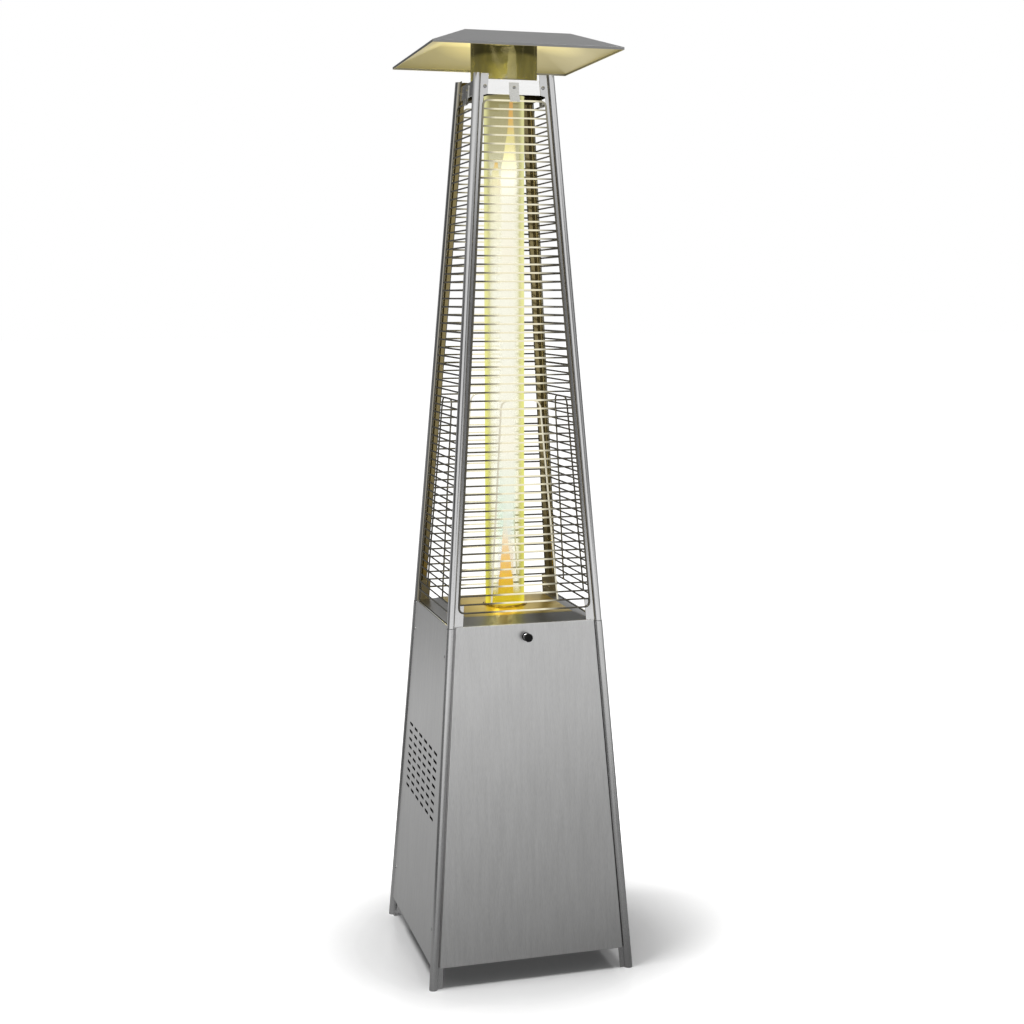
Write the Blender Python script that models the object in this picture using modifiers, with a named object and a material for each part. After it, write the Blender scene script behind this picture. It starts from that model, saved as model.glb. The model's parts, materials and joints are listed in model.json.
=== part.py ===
"""Pyramid patio heater in metres, +Z up, front towards -Y, left towards -X."""

import math

import bmesh
import bpy
from mathutils import Matrix, Vector

for old in list(bpy.data.objects):
    bpy.data.objects.remove(old, do_unlink=True)

# Sheet metal and clearances
SHEET = 0.0012
SEAM = 0.0003
LOOSE = 0.0004
RUNNING = 0.0001
OVERRUN = 0.0100

# Half the distance between two posts' tube centres, on the floor and level with the top deck
HALF_AT_FLOOR = 0.2490
HALF_AT_DECK = 0.0905

# Posts: tube radius, and what stands along each face beyond the tube
LOWER_RADIUS = 0.0105
UPPER_RADIUS = 0.0095
LOWER_FLANGE = 0.0115
UPPER_FLANGE = 0.0080
FOOT_TAB = 0.0205
HEAD_TAB = 0.0185
TAB_SHOULDER = 0.0030
POST_JOINT_GAP = 0.0010
TUBE_TURN = math.radians(270)
TUBE_STEPS = 12

# Cabinet heights
PANEL_BOTTOM = 0.0515
PANEL_TALL = 0.8225
PANEL_TOP = PANEL_BOTTOM + PANEL_TALL
JOINT_DROP = 0.0023
JOINT_Z = PANEL_TOP - JOINT_DROP

# Splice plates inside the post joints
SPLICE_SHEET = 0.0015
SPLICE_LEG = 0.0300
SPLICE_DOWN = 0.0497
SPLICE_UP = 0.0528

# Panels, as shallow pans in front of the posts' flanges
PANEL_SHEET = 0.0010
PANEL_DEEP = 0.0050
PANEL_SIDE_GAP = 0.0015
PANEL_EDGE = LOWER_RADIUS + PANEL_SIDE_GAP
PANEL_OUT = SHEET / 2 + LOOSE + PANEL_DEEP
VENT_COLUMNS = 6
VENT_ROWS = 9
VENT_PITCH_X = 0.0558
VENT_PITCH_Z = 0.0203
VENT_TOP = 0.5530
VENT_LONG = 0.0350
VENT_HIGH = 0.0050

# Door hinge, along the door's lower edge, which is rolled round the hinge rod
HINGE_UP = 0.0025
PIN_RADIUS = 0.0012
PIN_BORE = PIN_RADIUS + RUNNING
ROLL_TURN = math.radians(270)
ROLL_STEPS = 12
ROLL_RADIUS = (PIN_BORE + PANEL_SHEET) / math.cos(ROLL_TURN / ROLL_STEPS / 2)
EAR_RADIUS = 0.0022
EAR_AT = 0.1500
EAR_WIDE = 0.0100
EAR_SIDE_GAP = 0.0010
EAR_ARM = 0.0022
HINGE_Z = PANEL_BOTTOM + HINGE_UP

# Door knob and catch
KNOB_DROP = 0.0320
KNOB_RADIUS = 0.0105
KNOB_LONG = 0.0260
KNOB_SHARES = ((0.0, 1.0), (0.86, 1.0), (1.0, 0.92), (1.0, 0.5), (0.9, 0.42), (0.67, 0.4), (0.67, 0.0))
STEM_RADIUS = 0.0022
NUT_RADIUS = 0.0045
NUT_TALL = 0.0028
CATCH_DROP = 0.0040
CATCH_TALL = 0.0110
CATCH_WIDE = 0.0400
CATCH_PROUD = 0.0012

# Shelf for the gas cylinder
SHELF_UP = 0.0205
SHELF_TALL = 0.0200
SHELF_INSET = 0.0012
SHELF_TOP = PANEL_BOTTOM + SHELF_UP

# Burner plate
PLATE_RISE = 0.0145
PLATE_FOOT_DROP = 0.0005
PLATE_SKIRT_DROP = 0.0160
PLATE_LEDGE = 0.0100
PLATE_SLANT_WIDE = 0.0400
PLATE_INSET = SHEET / 2 + LOOSE + SPLICE_SHEET + LOOSE
PLATE_TOP = PANEL_TOP + PLATE_RISE
RING_POINTS = 32

# Glass tube and its seat
GLASS_OUT = 0.0490
GLASS_WALL = 0.0030
GLASS_LONG = 1.2500
SEAT_IN = 0.0445
SEAT_OUT = 0.0560
SEAT_LIP = 0.0030
SEAT_SLACK = 0.0010
SEAT_TOP = PLATE_TOP + SEAM + SHEET
GLASS_BOTTOM = SEAT_TOP + SEAM
GLASS_TOP = GLASS_BOTTOM + GLASS_LONG

# Top frame
GLASS_ROOM = 0.0247
FRAME_TALL = 0.0350
FRAME_INSET = SHEET / 2 + LOOSE
COLLAR_SLACK = 0.0012
COLLAR_TALL = 0.0300
POST_ABOVE_DECK = 0.0130
DECK_TOP = GLASS_TOP + GLASS_ROOM
FRAME_BOTTOM = DECK_TOP - FRAME_TALL
POST_TOP = DECK_TOP + POST_ABOVE_DECK
SLOPE = (HALF_AT_FLOOR - HALF_AT_DECK) / DECK_TOP

# Frame screws, set in from the tube centre and down from the deck
SCREW_INSET = 0.0205
SCREW_DROP = 0.0175
SCREW_RADIUS = 0.0020
SCREW_LONG = 0.0070
SCREW_HEAD = 0.0042
SCREW_HEAD_TALL = 0.0023
SCREW_Z = DECK_TOP - SCREW_DROP

# Flame screen and reflector
SCREEN_INSET = 0.0100
SCREEN_TALL = 0.1032
REFLECTOR_FLAT = 0.1280
REFLECTOR_HALF = 0.2275
REFLECTOR_DROP = 0.0415
REFLECTOR_LIP = 0.0060
SCREEN_TOP = DECK_TOP + SEAM + SCREEN_TALL
HEIGHT = SCREEN_TOP + SEAM + SHEET

# Guards
GUARD_DROP = 0.0495
GUARD_LIFT = 0.0320
GUARD_GAPS = 60
GUARD_DEEP = 0.0030
RAIL_GAP = 0.0070
RAIL_WIDE = 0.0030
WIRE_TALL = 0.0020
CROSSBAR = 31
CROSSBAR_TALL = 0.0040
HOOP_INSET = 0.0980
HOOP_FOOT = 59
HOOP_HEAD = 35
HOOP_RADIUS = 0.0009
GUARD_TOP = DECK_TOP - GUARD_DROP
GUARD_BOTTOM = PANEL_TOP + GUARD_LIFT
GUARD_BACK = SHEET / 2 + LOOSE

# Guard clips
CLIP_WIDE = 0.0240
CLIP_ABOVE_WIRE = 0.0430
CLIP_HOOK = 0.0105
CLIP_SLACK = 0.0005

# Control box, hanging under the front of the burner plate
BOX_WIDE = 0.1800
BOX_SETBACK = 0.0030
BOX_TO_CUP = 0.0220
BOX_TALL = 0.1270
CONTROL_DROP = 0.0735
CONTROL_Z = PLATE_TOP - CONTROL_DROP

# Gas valve, measured from its spindle and from the box's front
VALVE_X = -0.0350
VALVE_WIDE = 0.0440
VALVE_DEEP = 0.0442
NOSE_RADIUS = 0.0075
NOSE_LONG = 0.0050
PORT_RADIUS = 0.0070
PORT_LONG = 0.0032
PORT_DEPTH = 0.0290
PORT_RISE = 0.0050
SPINDLE_RADIUS = 0.0040
SPINDLE_DEPTH = 0.0180
SPINDLE_ROOM = 0.0050
SPINDLE_BORE = SPINDLE_RADIUS + RUNNING

# Control knob
DIAL_RADIUS = 0.0190
DIAL_THICK = 0.0220
DIAL_STANDOFF = 0.0140
DIAL_SHARES = ((0.0, 1.0), (0.87, 1.0), (1.0, 0.88), (1.0, 0.05), (0.9, 0.0))
SOCKET_SHARE = 0.75
GRIP_WIDE = 0.0070
GRIP_LONG = 0.0300
GRIP_PROUD = 0.0060

# Igniter
IGNITER_X = 0.0450
IGNITER_RADIUS = 0.0100
IGNITER_DEEP = 0.0440
IGNITER_LIP = 0.0125
IGNITER_LIP_TALL = 0.0036
BUTTON_RADIUS = 0.0065
BUTTON_OUT = 0.0110
BUTTON_DEPTH = 0.0075
BUTTON_ROOM = 0.0055

# Gas inlet and injector
INLET_RADIUS = 0.0085
INLET_LONG = 0.0440
INLET_DEPTH = 0.0240
INLET_SHARES = (
    (0.35, 0.0),
    (1.0, 0.0),
    (1.0, 0.27),
    (0.7, 0.32),
    (0.7, 0.68),
    (0.53, 0.82),
    (0.53, 1.0),
    (0.35, 1.0),
)
INJECTOR_LONG = 0.0340
INJECTOR_DROP = 0.1085
INJECTOR_SHARES = (
    (0.1, 1.0),
    (0.2, 1.0),
    (0.32, 0.85),
    (1.0, 0.84),
    (1.0, 0.79),
    (0.4, 0.79),
    (0.4, 0.62),
    (0.65, 0.59),
    (0.65, 0.0),
    (0.1, 0.0),
)

# Burner cup and grid
CUP_NECK = 0.0140
CUP_RADIUS = 0.0330
CUP_LIP = 0.0022
CUP_DEEP = 0.0825
NECK_TALL = 0.0380
CONE_TALL = 0.0160
AIR_SLOT_WIDE = 0.0080
AIR_SLOT_TALL = 0.0140
AIR_SLOT_UP = 0.0060
GRID_HOLES = 6
GRID_HOLE_RADIUS = 0.0050
GRID_CIRCLE = 0.0190

# Ports in the burner plate, round the cup
PORT_CIRCLE = 0.0400
PILOT_ANGLE = math.radians(150)
SPARK_ANGLE = math.radians(120)
COUPLE_ANGLE = math.radians(180)
PILOT_RADIUS = 0.0025
SPARK_RADIUS = 0.0035
COUPLE_RADIUS = 0.0018
SPARK_SHARES = ((0.0, 1.0), (0.34, 1.0), (0.34, 0.79), (1.0, 0.775), (1.0, 0.0), (0.0, 0.0))
PILOT_RISE = 0.0175
SPARK_RISE = 0.0235
SPARK_DROP = 0.0385
COUPLE_RISE = 0.0225

# Pipes and lead, their routes as shares of the way between their two ends
FEED_RADIUS = 0.0035
LEAD_RADIUS = 0.0018
SOCKET_OFFSET = 0.0100
BEND_STEPS = 3
FEED_SHARES = (
    (0.0, 0.0, 0.0),
    (2.1, 0.0, 0.0),
    (2.9, 0.08, 0.15),
    (2.9, 0.5, 1.0),
    (2.5, 0.8, 1.4),
    (1.6, 0.96, 1.54),
    (1.0, 1.0, 1.4),
    (1.0, 1.0, 1.0),
)
PILOT_SHARES = (
    (0.0, 0.0, 0.0),
    (0.0, 0.16, 0.0),
    (-1.06, 0.51, -0.01),
    (-0.87, 0.88, 0.01),
    (0.19, 0.99, 0.07),
    (1.0, 1.0, 0.21),
    (1.0, 1.0, 1.0),
)
COUPLE_SHARES = (
    (0.0, 0.0, 0.0),
    (0.2, 0.25, -0.03),
    (0.87, 0.73, 0.0),
    (1.0, 0.95, 0.08),
    (1.0, 1.0, 0.21),
    (1.0, 1.0, 1.0),
)
LEAD_SHARES = (
    (0.0, 0.0, 0.0),
    (0.0, 0.1, 0.0),
    (-0.11, 0.33, -0.09),
    (-0.08, 0.79, -0.09),
    (0.15, 1.06, -0.03),
    (0.62, 1.13, 0.09),
    (0.95, 1.07, 0.26),
    (1.0, 1.0, 0.55),
    (1.0, 1.0, 1.0),
)

# Tilt switch
TILT_WIDE = 0.0220
TILT_SIDE = 0.0300
TILT_SETBACK = 0.0140

# Mesh settings
SMOOTH_ANGLE = math.radians(35)
MERGE = 0.00001

CORNERS = {"fl": (-1, -1), "fr": (1, -1), "bl": (-1, 1), "br": (1, 1)}
SIDES = ("front", "right", "back", "left")
LEAN = math.atan(SLOPE)
UPRIGHT = Matrix()

PARTS = bpy.data.collections.new("pyramid_patio_heater")
CUTTERS = bpy.data.collections.new("cutters")
for collection in (PARTS, CUTTERS):
    bpy.context.scene.collection.children.link(collection)


# Places
def half(z):
    """Distance from the middle to a post's tube centre at height z."""
    return HALF_AT_FLOOR - SLOPE * z


# Half widths of the burner plate at its edge, at the foot of its slant and at its flat
PLATE_EDGE = half(PANEL_TOP - PLATE_FOOT_DROP) - PLATE_INSET
PLATE_FOOT = PLATE_EDGE - PLATE_LEDGE
PLATE_FLAT = PLATE_FOOT - PLATE_SLANT_WIDE


def climb(z):
    """Distance up a face's slant to height z."""
    return z / math.cos(LEAN)


def face(side, x=0.0, z=0.0, out=0.0):
    """A frame on a face at height z: X along the face, Y up its slant, Z straight out."""
    turn = Matrix.Rotation(math.radians(90 * SIDES.index(side)), 4, "Z")
    lean = Matrix.Rotation(math.pi / 2 - LEAN, 4, "X")
    return turn @ Matrix.Translation((x, -half(z), z)) @ lean @ Matrix.Translation((0.0, 0.0, out))


def facing_front(x, y, z):
    """A frame whose Z points at the user."""
    return Matrix.Translation((x, y, z)) @ Matrix.Rotation(math.pi / 2, 4, "X")


def facing_right(x, y, z):
    """A frame whose Z points along X."""
    return Matrix.Translation((x, y, z)) @ Matrix.Rotation(math.pi / 2, 4, "Y")


def along(start, end, shares):
    """Points given as shares of the way from start to end on each axis."""
    return [Vector([a + s * (b - a) for a, b, s in zip(start, end, share)]) for share in shares]


# Materials: colour, metallic, roughness
LOOKS = {
    "brushed": ((0.62, 0.62, 0.62), 1.0, 0.35),
    "bright": ((0.80, 0.80, 0.80), 1.0, 0.20),
    "dark": ((0.10, 0.10, 0.10), 0.6, 0.50),
    "plastic": ((0.02, 0.02, 0.02), 0.0, 0.40),
    "brass": ((0.70, 0.50, 0.20), 1.0, 0.35),
    "glass": ((0.90, 0.95, 0.90), 0.0, 0.05),
    "ceramic": ((0.90, 0.88, 0.82), 0.0, 0.40),
    "red": ((0.60, 0.05, 0.03), 0.0, 0.40),
    "copper": ((0.75, 0.40, 0.25), 1.0, 0.35),
}


def material(name, look):
    colour, metallic, roughness = LOOKS[look]
    made = bpy.data.materials.new(name)
    made.use_nodes = True
    shader = made.node_tree.nodes["Principled BSDF"]
    shader.inputs["Base Color"].default_value = (*colour, 1.0)
    shader.inputs["Metallic"].default_value = metallic
    shader.inputs["Roughness"].default_value = roughness
    return made


# Building blocks
def put(name, data, place, look):
    """Makes a part of its own material or, without a look, a hidden cutter."""
    obj = bpy.data.objects.new(name, data)
    obj.matrix_world = place
    if look is None:
        CUTTERS.objects.link(obj)
        obj.hide_render = True
        obj.display_type = "WIRE"
    else:
        PARTS.objects.link(obj)
        data.materials.append(material(name, look))
    return obj


def from_shape(name, shape, place, look):
    mesh = bpy.data.meshes.new(name)
    shape.to_mesh(mesh)
    shape.free()
    mesh.shade_smooth()
    mesh.set_sharp_from_angle(angle=SMOOTH_ANGLE)
    return put(name, mesh, place, look)


def block(name, x, y, z, place=UPRIGHT, look=None):
    """A box from its low and high x, y and z."""
    spans = (x, y, z)
    size = Matrix.Diagonal([high - low for low, high in spans] + [1.0])
    middle = Matrix.Translation([(low + high) / 2 for low, high in spans])
    shape = bmesh.new()
    bmesh.ops.create_cube(shape, size=1.0, matrix=middle @ size)
    return from_shape(name, shape, place, look)


def rod(name, radius, low, high, place=UPRIGHT, sides=24, look=None):
    shape = bmesh.new()
    bmesh.ops.create_cone(
        shape,
        cap_ends=True,
        segments=sides,
        radius1=radius,
        radius2=radius,
        depth=high - low,
        matrix=Matrix.Translation((0.0, 0.0, (low + high) / 2)),
    )
    return from_shape(name, shape, place, look)


def turned(name, profile, place=UPRIGHT, sides=24, look=None):
    """Turns (radius, height) points round Z. A profile off the axis is closed on itself."""
    ends = list(zip(profile, profile[1:] + profile[:1]))
    if sum(a[0] * b[1] - b[0] * a[1] for a, b in ends) > 0:
        profile = profile[::-1]
    edges = [(n, n + 1) for n in range(len(profile) - 1)]
    if profile[0][0] > 0:
        edges.append((len(profile) - 1, 0))
    mesh = bpy.data.meshes.new(name)
    mesh.from_pydata([(radius, 0.0, height) for radius, height in profile], edges, [])
    obj = put(name, mesh, place, look)
    screw = obj.modifiers.new("turn", "SCREW")
    screw.steps = sides
    screw.render_steps = sides
    screw.use_merge_vertices = True
    screw.merge_threshold = MERGE
    return obj


def ring_profile(inner, outer, low, high):
    return [(inner, high), (outer, high), (outer, low), (inner, low)]


def tube(name, points, radius, place=UPRIGHT, look=None):
    """A round bar along a route."""
    curve = bpy.data.curves.new(name, "CURVE")
    curve.dimensions = "3D"
    curve.bevel_depth = radius
    curve.bevel_resolution = 2
    curve.use_fill_caps = True
    spline = curve.splines.new("POLY")
    spline.points.add(len(points) - 1)
    for point, at_place in zip(spline.points, points):
        point.co = (*at_place, 1.0)
    return put(name, curve, place, look)


def bent(points):
    """Rounds each corner of a route from the middle of one leg to the middle of the next."""
    route = [points[0]]
    for before, corner, after in zip(points, points[1:], points[2:]):
        start, end = (before + corner) / 2, (corner + after) / 2
        for step in range(BEND_STEPS + 1):
            t = step / BEND_STEPS
            route.append(start.lerp(corner, t).lerp(corner.lerp(end, t), t))
    route.append(points[-1])
    apart = [a for a, b in zip(route, route[1:]) if (a - b).length > MERGE]
    return apart + route[-1:]


def bridged(rings, caps=()):
    """A skin through rings of equal point count, listed from the outer lower edge on."""
    shape = bmesh.new()
    loops = [[shape.verts.new(point) for point in ring] for ring in rings]
    for low, high in zip(loops, loops[1:]):
        for n in range(len(low)):
            m = (n + 1) % len(low)
            shape.faces.new((low[n], low[m], high[m], high[n]))
    for cap in caps:
        shape.faces.new(loops[cap])
    bmesh.ops.recalc_face_normals(shape, faces=shape.faces)
    return shape


def turn_out(shape, outwards, number=0):
    """Turns the skin over when its first face, or the one of that number, looks the wrong way."""
    shape.faces.ensure_lookup_table()
    shape.normal_update()
    if outwards(shape.faces[number]) < 0:
        bmesh.ops.reverse_faces(shape, faces=shape.faces)


def thicken(obj, thickness):
    """Gives an open skin its metal on the inner side."""
    solidify = obj.modifiers.new("sheet", "SOLIDIFY")
    solidify.thickness = thickness
    solidify.offset = -1.0
    solidify.use_even_offset = True


def pressed(name, rings, look, caps=()):
    """A sheet pressed through rings."""
    shape = bridged(rings, caps)
    turn_out(shape, lambda first: first.normal.xy.dot(first.calc_center_median().xy))
    obj = from_shape(name, shape, UPRIGHT, look)
    thicken(obj, SHEET)
    return obj


def face_sheet(name, side, columns, rows, is_open, out, thickness, look, fold=0.0, rolled=()):
    """A sheet on a face, its columns given as functions of height, its lowest rows rolled back by
    the depths given. A fold turns back the edges above them."""
    depths = [*rolled] + [0.0] * (len(rows) - len(rolled))
    across, up = len(columns) - 1, len(rows) - 1
    shape = bmesh.new()
    bmesh.ops.create_grid(shape, x_segments=across, y_segments=up, size=0.5)
    places = {}
    for vert in shape.verts:
        places[vert] = (round((vert.co.x + 0.5) * across), round((vert.co.y + 0.5) * up))
    openings = []
    for cell in shape.faces:
        column, row = (min(places[vert][axis] for vert in cell.verts) for axis in (0, 1))
        if is_open(column, row):
            openings.append(cell)
    edges = [edge for edge in shape.edges if edge.is_boundary]
    folded = []
    for edge in edges:
        rows_of = [places[vert][1] for vert in edge.verts]
        if min(rows_of) >= len(rolled):
            folded.append(edge)
    for vert, (column, row) in places.items():
        vert.co = (columns[column](rows[row]), climb(rows[row]), -depths[row])
    if fold:
        turned_back = bmesh.ops.extrude_edge_only(shape, edges=folded)["geom"]
        for vert in (item for item in turned_back if isinstance(item, bmesh.types.BMVert)):
            vert.co.z -= fold
        bmesh.ops.recalc_face_normals(shape, faces=shape.faces)
    widest = max(range(len(shape.faces)), key=[cell.calc_area() for cell in shape.faces].__getitem__)
    turn_out(shape, lambda cell: cell.normal.z, widest)
    bmesh.ops.delete(shape, geom=openings, context="FACES")
    obj = from_shape(name, shape, face(side, out=out), look)
    thicken(obj, thickness)
    return obj


def upright_line(x):
    return lambda z: x


def slanted_line(sign, distance):
    """A line that follows a post, a distance in from its tube centre."""
    return lambda z: sign * (half(z) - distance)


def boolean(obj, others, operation):
    for other in others:
        modifier = obj.modifiers.new(other.name, "BOOLEAN")
        modifier.operation = operation
        modifier.solver = "EXACT"
        modifier.object = other


def cut(obj, *others):
    boolean(obj, others, "DIFFERENCE")


def join(obj, *others):
    boolean(obj, others, "UNION")


def as_mesh(name, bar):
    """The solid of a round bar, with its caps welded on."""
    graph = bpy.context.evaluated_depsgraph_get()
    mesh = bpy.data.meshes.new_from_object(bar.evaluated_get(graph))
    place = bar.matrix_world.copy()
    bpy.data.objects.remove(bar)
    shape = bmesh.new()
    shape.from_mesh(mesh)
    bmesh.ops.remove_doubles(shape, verts=shape.verts, dist=MERGE)
    bmesh.ops.recalc_face_normals(shape, faces=shape.faces)
    return from_shape(name, shape, place, None)


def carried_by(name, location, *children):
    """Hangs moving parts on an empty that stands on their joint's axis."""
    pivot = bpy.data.objects.new(name, None)
    pivot.location = location
    PARTS.objects.link(pivot)
    for child in children:
        child.parent = pivot
        child.matrix_parent_inverse = Matrix.Translation(location).inverted()


# Posts
def post_outline(radius, flange):
    """The rolled sheet from above: a three-quarter tube with a flange along each face."""
    h = SHEET / 2
    inner = radius - SHEET
    end = radius + flange
    reach = math.sqrt(radius * radius - h * h)
    turn = [-TUBE_TURN * n / TUBE_STEPS for n in range(1, TUBE_STEPS)]
    outline = [(end, -h), (reach, -h)]
    outline += [(radius * math.cos(a), radius * math.sin(a)) for a in turn]
    outline += [(-h, reach), (-h, end), (h, end), (h, inner), (0.0, inner)]
    outline += [(inner * math.cos(a), inner * math.sin(a)) for a in reversed(turn)]
    outline += [(inner, 0.0), (inner, h), (end, h)]
    return outline


def at_corner(corner, outline, z):
    """An outline of distances in from the tube centre, as points at height z."""
    sx, sy = CORNERS[corner]
    return [(sx * (half(z) - p), sy * (half(z) - q), z) for p, q in outline]


def lower_post(corner):
    outline = post_outline(LOWER_RADIUS, LOWER_FLANGE)
    heights = (0.0, JOINT_Z - POST_JOINT_GAP / 2)
    rings = [at_corner(corner, outline, z) for z in heights]
    from_shape(f"lower_post_{corner}", bridged(rings, (0, -1)), UPRIGHT, "brushed")


def screw_place(side, hand):
    return face(side, hand * (half(SCREW_Z) - SCREW_INSET), SCREW_Z)


def screw_hole(name, side, hand):
    return rod(name, SCREW_RADIUS + LOOSE, -OVERRUN, OVERRUN, screw_place(side, hand), 8)


def upper_post(corner):
    steps = (
        (JOINT_Z + POST_JOINT_GAP / 2, FOOT_TAB),
        (JOINT_Z + SPLICE_UP, FOOT_TAB),
        (JOINT_Z + SPLICE_UP + TAB_SHOULDER, UPPER_FLANGE),
        (FRAME_BOTTOM - TAB_SHOULDER, UPPER_FLANGE),
        (FRAME_BOTTOM, HEAD_TAB),
        (POST_TOP, HEAD_TAB),
    )
    rings = [at_corner(corner, post_outline(UPPER_RADIUS, flange), z) for z, flange in steps]
    post = from_shape(f"upper_post_{corner}", bridged(rings, (0, -1)), UPRIGHT, "brushed")
    sx, sy = CORNERS[corner]
    across = ("front", sx) if sy < 0 else ("back", -sx)
    beside = ("left", -sy) if sx < 0 else ("right", sy)
    for side, hand in (across, beside):
        cut(post, screw_hole(f"tab_hole_{corner}_{side}", side, hand))


def post_splice(corner):
    near = SHEET / 2 + LOOSE
    far = near + SPLICE_SHEET
    outline = ((near, near), (SPLICE_LEG, near), (SPLICE_LEG, far))
    outline += ((far, far), (far, SPLICE_LEG), (near, SPLICE_LEG))
    heights = (JOINT_Z - SPLICE_DOWN, JOINT_Z + SPLICE_UP)
    rings = [at_corner(corner, outline, z) for z in heights]
    from_shape(f"post_splice_{corner}", bridged(rings, (0, -1)), UPRIGHT, "bright")


# Panels
def panel(name, side, columns=(), rows=(), is_open=lambda column, row: False):
    """A pan of sheet with all four edges folded back."""
    columns = [slanted_line(-1, PANEL_EDGE), *columns, slanted_line(1, PANEL_EDGE)]
    rows = [PANEL_BOTTOM, *rows, PANEL_TOP]
    sheet = (PANEL_OUT, PANEL_SHEET, "brushed", PANEL_DEEP)
    face_sheet(name, side, columns, rows, is_open, *sheet)


def vented_panel(name, side):
    columns, rows = [], []
    for n in range(VENT_COLUMNS):
        middle = (n - (VENT_COLUMNS - 1) / 2) * VENT_PITCH_X
        columns += [upright_line(middle - VENT_LONG / 2), upright_line(middle + VENT_LONG / 2)]
    for n in reversed(range(VENT_ROWS)):
        middle = VENT_TOP - n * VENT_PITCH_Z
        rows += [middle - VENT_HIGH / 2, middle + VENT_HIGH / 2]
    panel(name, side, columns, rows, lambda column, row: column % 2 == 1 and row % 2 == 1)


# Door
HINGE_AT = face("front", z=HINGE_Z, out=PANEL_OUT - ROLL_RADIUS).translation
HINGE_REACH = half(HINGE_Z) - PANEL_EDGE - SEAM
KNOB_Z = PANEL_TOP - KNOB_DROP
KNOB_PLACE = face("front", z=KNOB_Z, out=PANEL_OUT)


def front_door():
    """A pan whose lower edge is rolled round the hinge rod, with notches for the shelf's ears
    and a square hole for the knob's stem."""
    near = EAR_AT - EAR_WIDE / 2 - EAR_SIDE_GAP
    far = EAR_AT + EAR_WIDE / 2 + EAR_SIDE_GAP
    hole = STEM_RADIUS + LOOSE
    columns = [upright_line(x) for x in (-far, -near, -hole, hole, near, far)]
    columns = [slanted_line(-1, PANEL_EDGE), *columns, slanted_line(1, PANEL_EDGE)]
    turns = [ROLL_TURN * n / ROLL_STEPS for n in reversed(range(ROLL_STEPS + 1))]
    rows = [HINGE_Z - ROLL_RADIUS * math.sin(a) * math.cos(LEAN) for a in turns]
    rows += [HINGE_Z + ROLL_RADIUS + EAR_SIDE_GAP, KNOB_Z - hole, KNOB_Z + hole, PANEL_TOP]
    rolled = [ROLL_RADIUS * (1.0 - math.cos(a)) for a in turns]

    def is_open(column, row):
        return (column, row) == (3, ROLL_STEPS + 2) or (column in (1, 5) and row <= ROLL_STEPS)

    sheet = (PANEL_OUT, PANEL_SHEET, "brushed", PANEL_DEEP, rolled)
    return face_sheet("front_door", "front", columns, rows, is_open, *sheet)


def door_knob():
    back = -PANEL_SHEET - SEAM
    profile = [(r * KNOB_RADIUS, SEAM + s * (KNOB_LONG - SEAM)) for r, s in KNOB_SHARES]
    profile += [(STEM_RADIUS, SEAM), (STEM_RADIUS, back), (NUT_RADIUS, back)]
    profile += [(NUT_RADIUS, back - NUT_TALL), (0.0, back - NUT_TALL)]
    return turned("door_knob", profile, KNOB_PLACE, 20, "plastic")


def door_hinge_rod():
    rod("door_hinge_rod", PIN_RADIUS, -HINGE_REACH, HINGE_REACH, facing_right(*HINGE_AT), 16, "bright")


def catch_block(name, low, high, look):
    """A block of the magnetic catch, from its distances out of the tube centre plane."""
    wide = (-CATCH_WIDE / 2, CATCH_WIDE / 2)
    place = face("front", z=PANEL_TOP - CATCH_DROP)
    return block(name, wide, (-CATCH_TALL, 0.0), (low, high), place, look)


# Shelf for the gas cylinder
def square(size, z):
    return [(x * size, y * size, z) for x, y in ((-1, -1), (1, -1), (1, 1), (-1, 1))]


def base_shelf():
    heights = (SHELF_TOP - SHELF_TALL, SHELF_TOP)
    rings = [square(half(z) - SHELF_INSET, z) for z in heights]
    shelf = pressed("base_shelf", rings, "dark", caps=(-1,))
    rim = -(half(HINGE_Z) - SHELF_INSET - SHEET / 2)
    root = HINGE_AT.y + (PIN_BORE + EAR_RADIUS) / 2
    tall = (HINGE_AT.z - EAR_ARM / 2, HINGE_AT.z + EAR_ARM / 2)
    for n, x in enumerate((-EAR_AT, EAR_AT)):
        span = (x - EAR_WIDE / 2, x + EAR_WIDE / 2)
        arm = block(f"ear_arm_{n}", span, (root, rim), tall)
        ring = ring_profile(PIN_BORE, EAR_RADIUS, *span)
        join(arm, turned(f"ear_{n}", ring, facing_right(*HINGE_AT), 16))
        join(shelf, arm)


# Burner plate and top frame, pressed from square to round
def round_ring(radius, z):
    turns = [2 * math.pi * n / RING_POINTS for n in range(RING_POINTS)]
    return [(radius * math.cos(a), radius * math.sin(a), z) for a in turns]


def square_ring(size, z):
    """A square of as many points as a round ring, in line with them."""
    ring = []
    for x, y, _ in round_ring(size, z):
        far = max(abs(x), abs(y)) / size
        ring.append((x / far, y / far, z))
    return ring


def plate_port(angle):
    return PORT_CIRCLE * math.cos(angle), PORT_CIRCLE * math.sin(angle)


def burner_plate():
    foot_z = PANEL_TOP - PLATE_FOOT_DROP
    skirt_z = PANEL_TOP - PLATE_SKIRT_DROP
    rings = [
        square_ring(half(skirt_z) - PLATE_INSET, skirt_z),
        square_ring(PLATE_EDGE, foot_z),
        square_ring(PLATE_FOOT, foot_z),
        square_ring(PLATE_FLAT, PLATE_TOP),
        round_ring(CUP_RADIUS + LOOSE, PLATE_TOP),
    ]
    plate = pressed("burner_plate", rings, "brushed")
    ports = (
        ("pilot_port", PILOT_RADIUS, PILOT_ANGLE),
        ("spark_port", SPARK_RADIUS, SPARK_ANGLE),
        ("couple_port", COUPLE_RADIUS, COUPLE_ANGLE),
    )
    for name, radius, angle in ports:
        place = Matrix.Translation((*plate_port(angle), PLATE_TOP))
        cut(plate, rod(name, radius + LOOSE, -OVERRUN, OVERRUN, place, 12))


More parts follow.
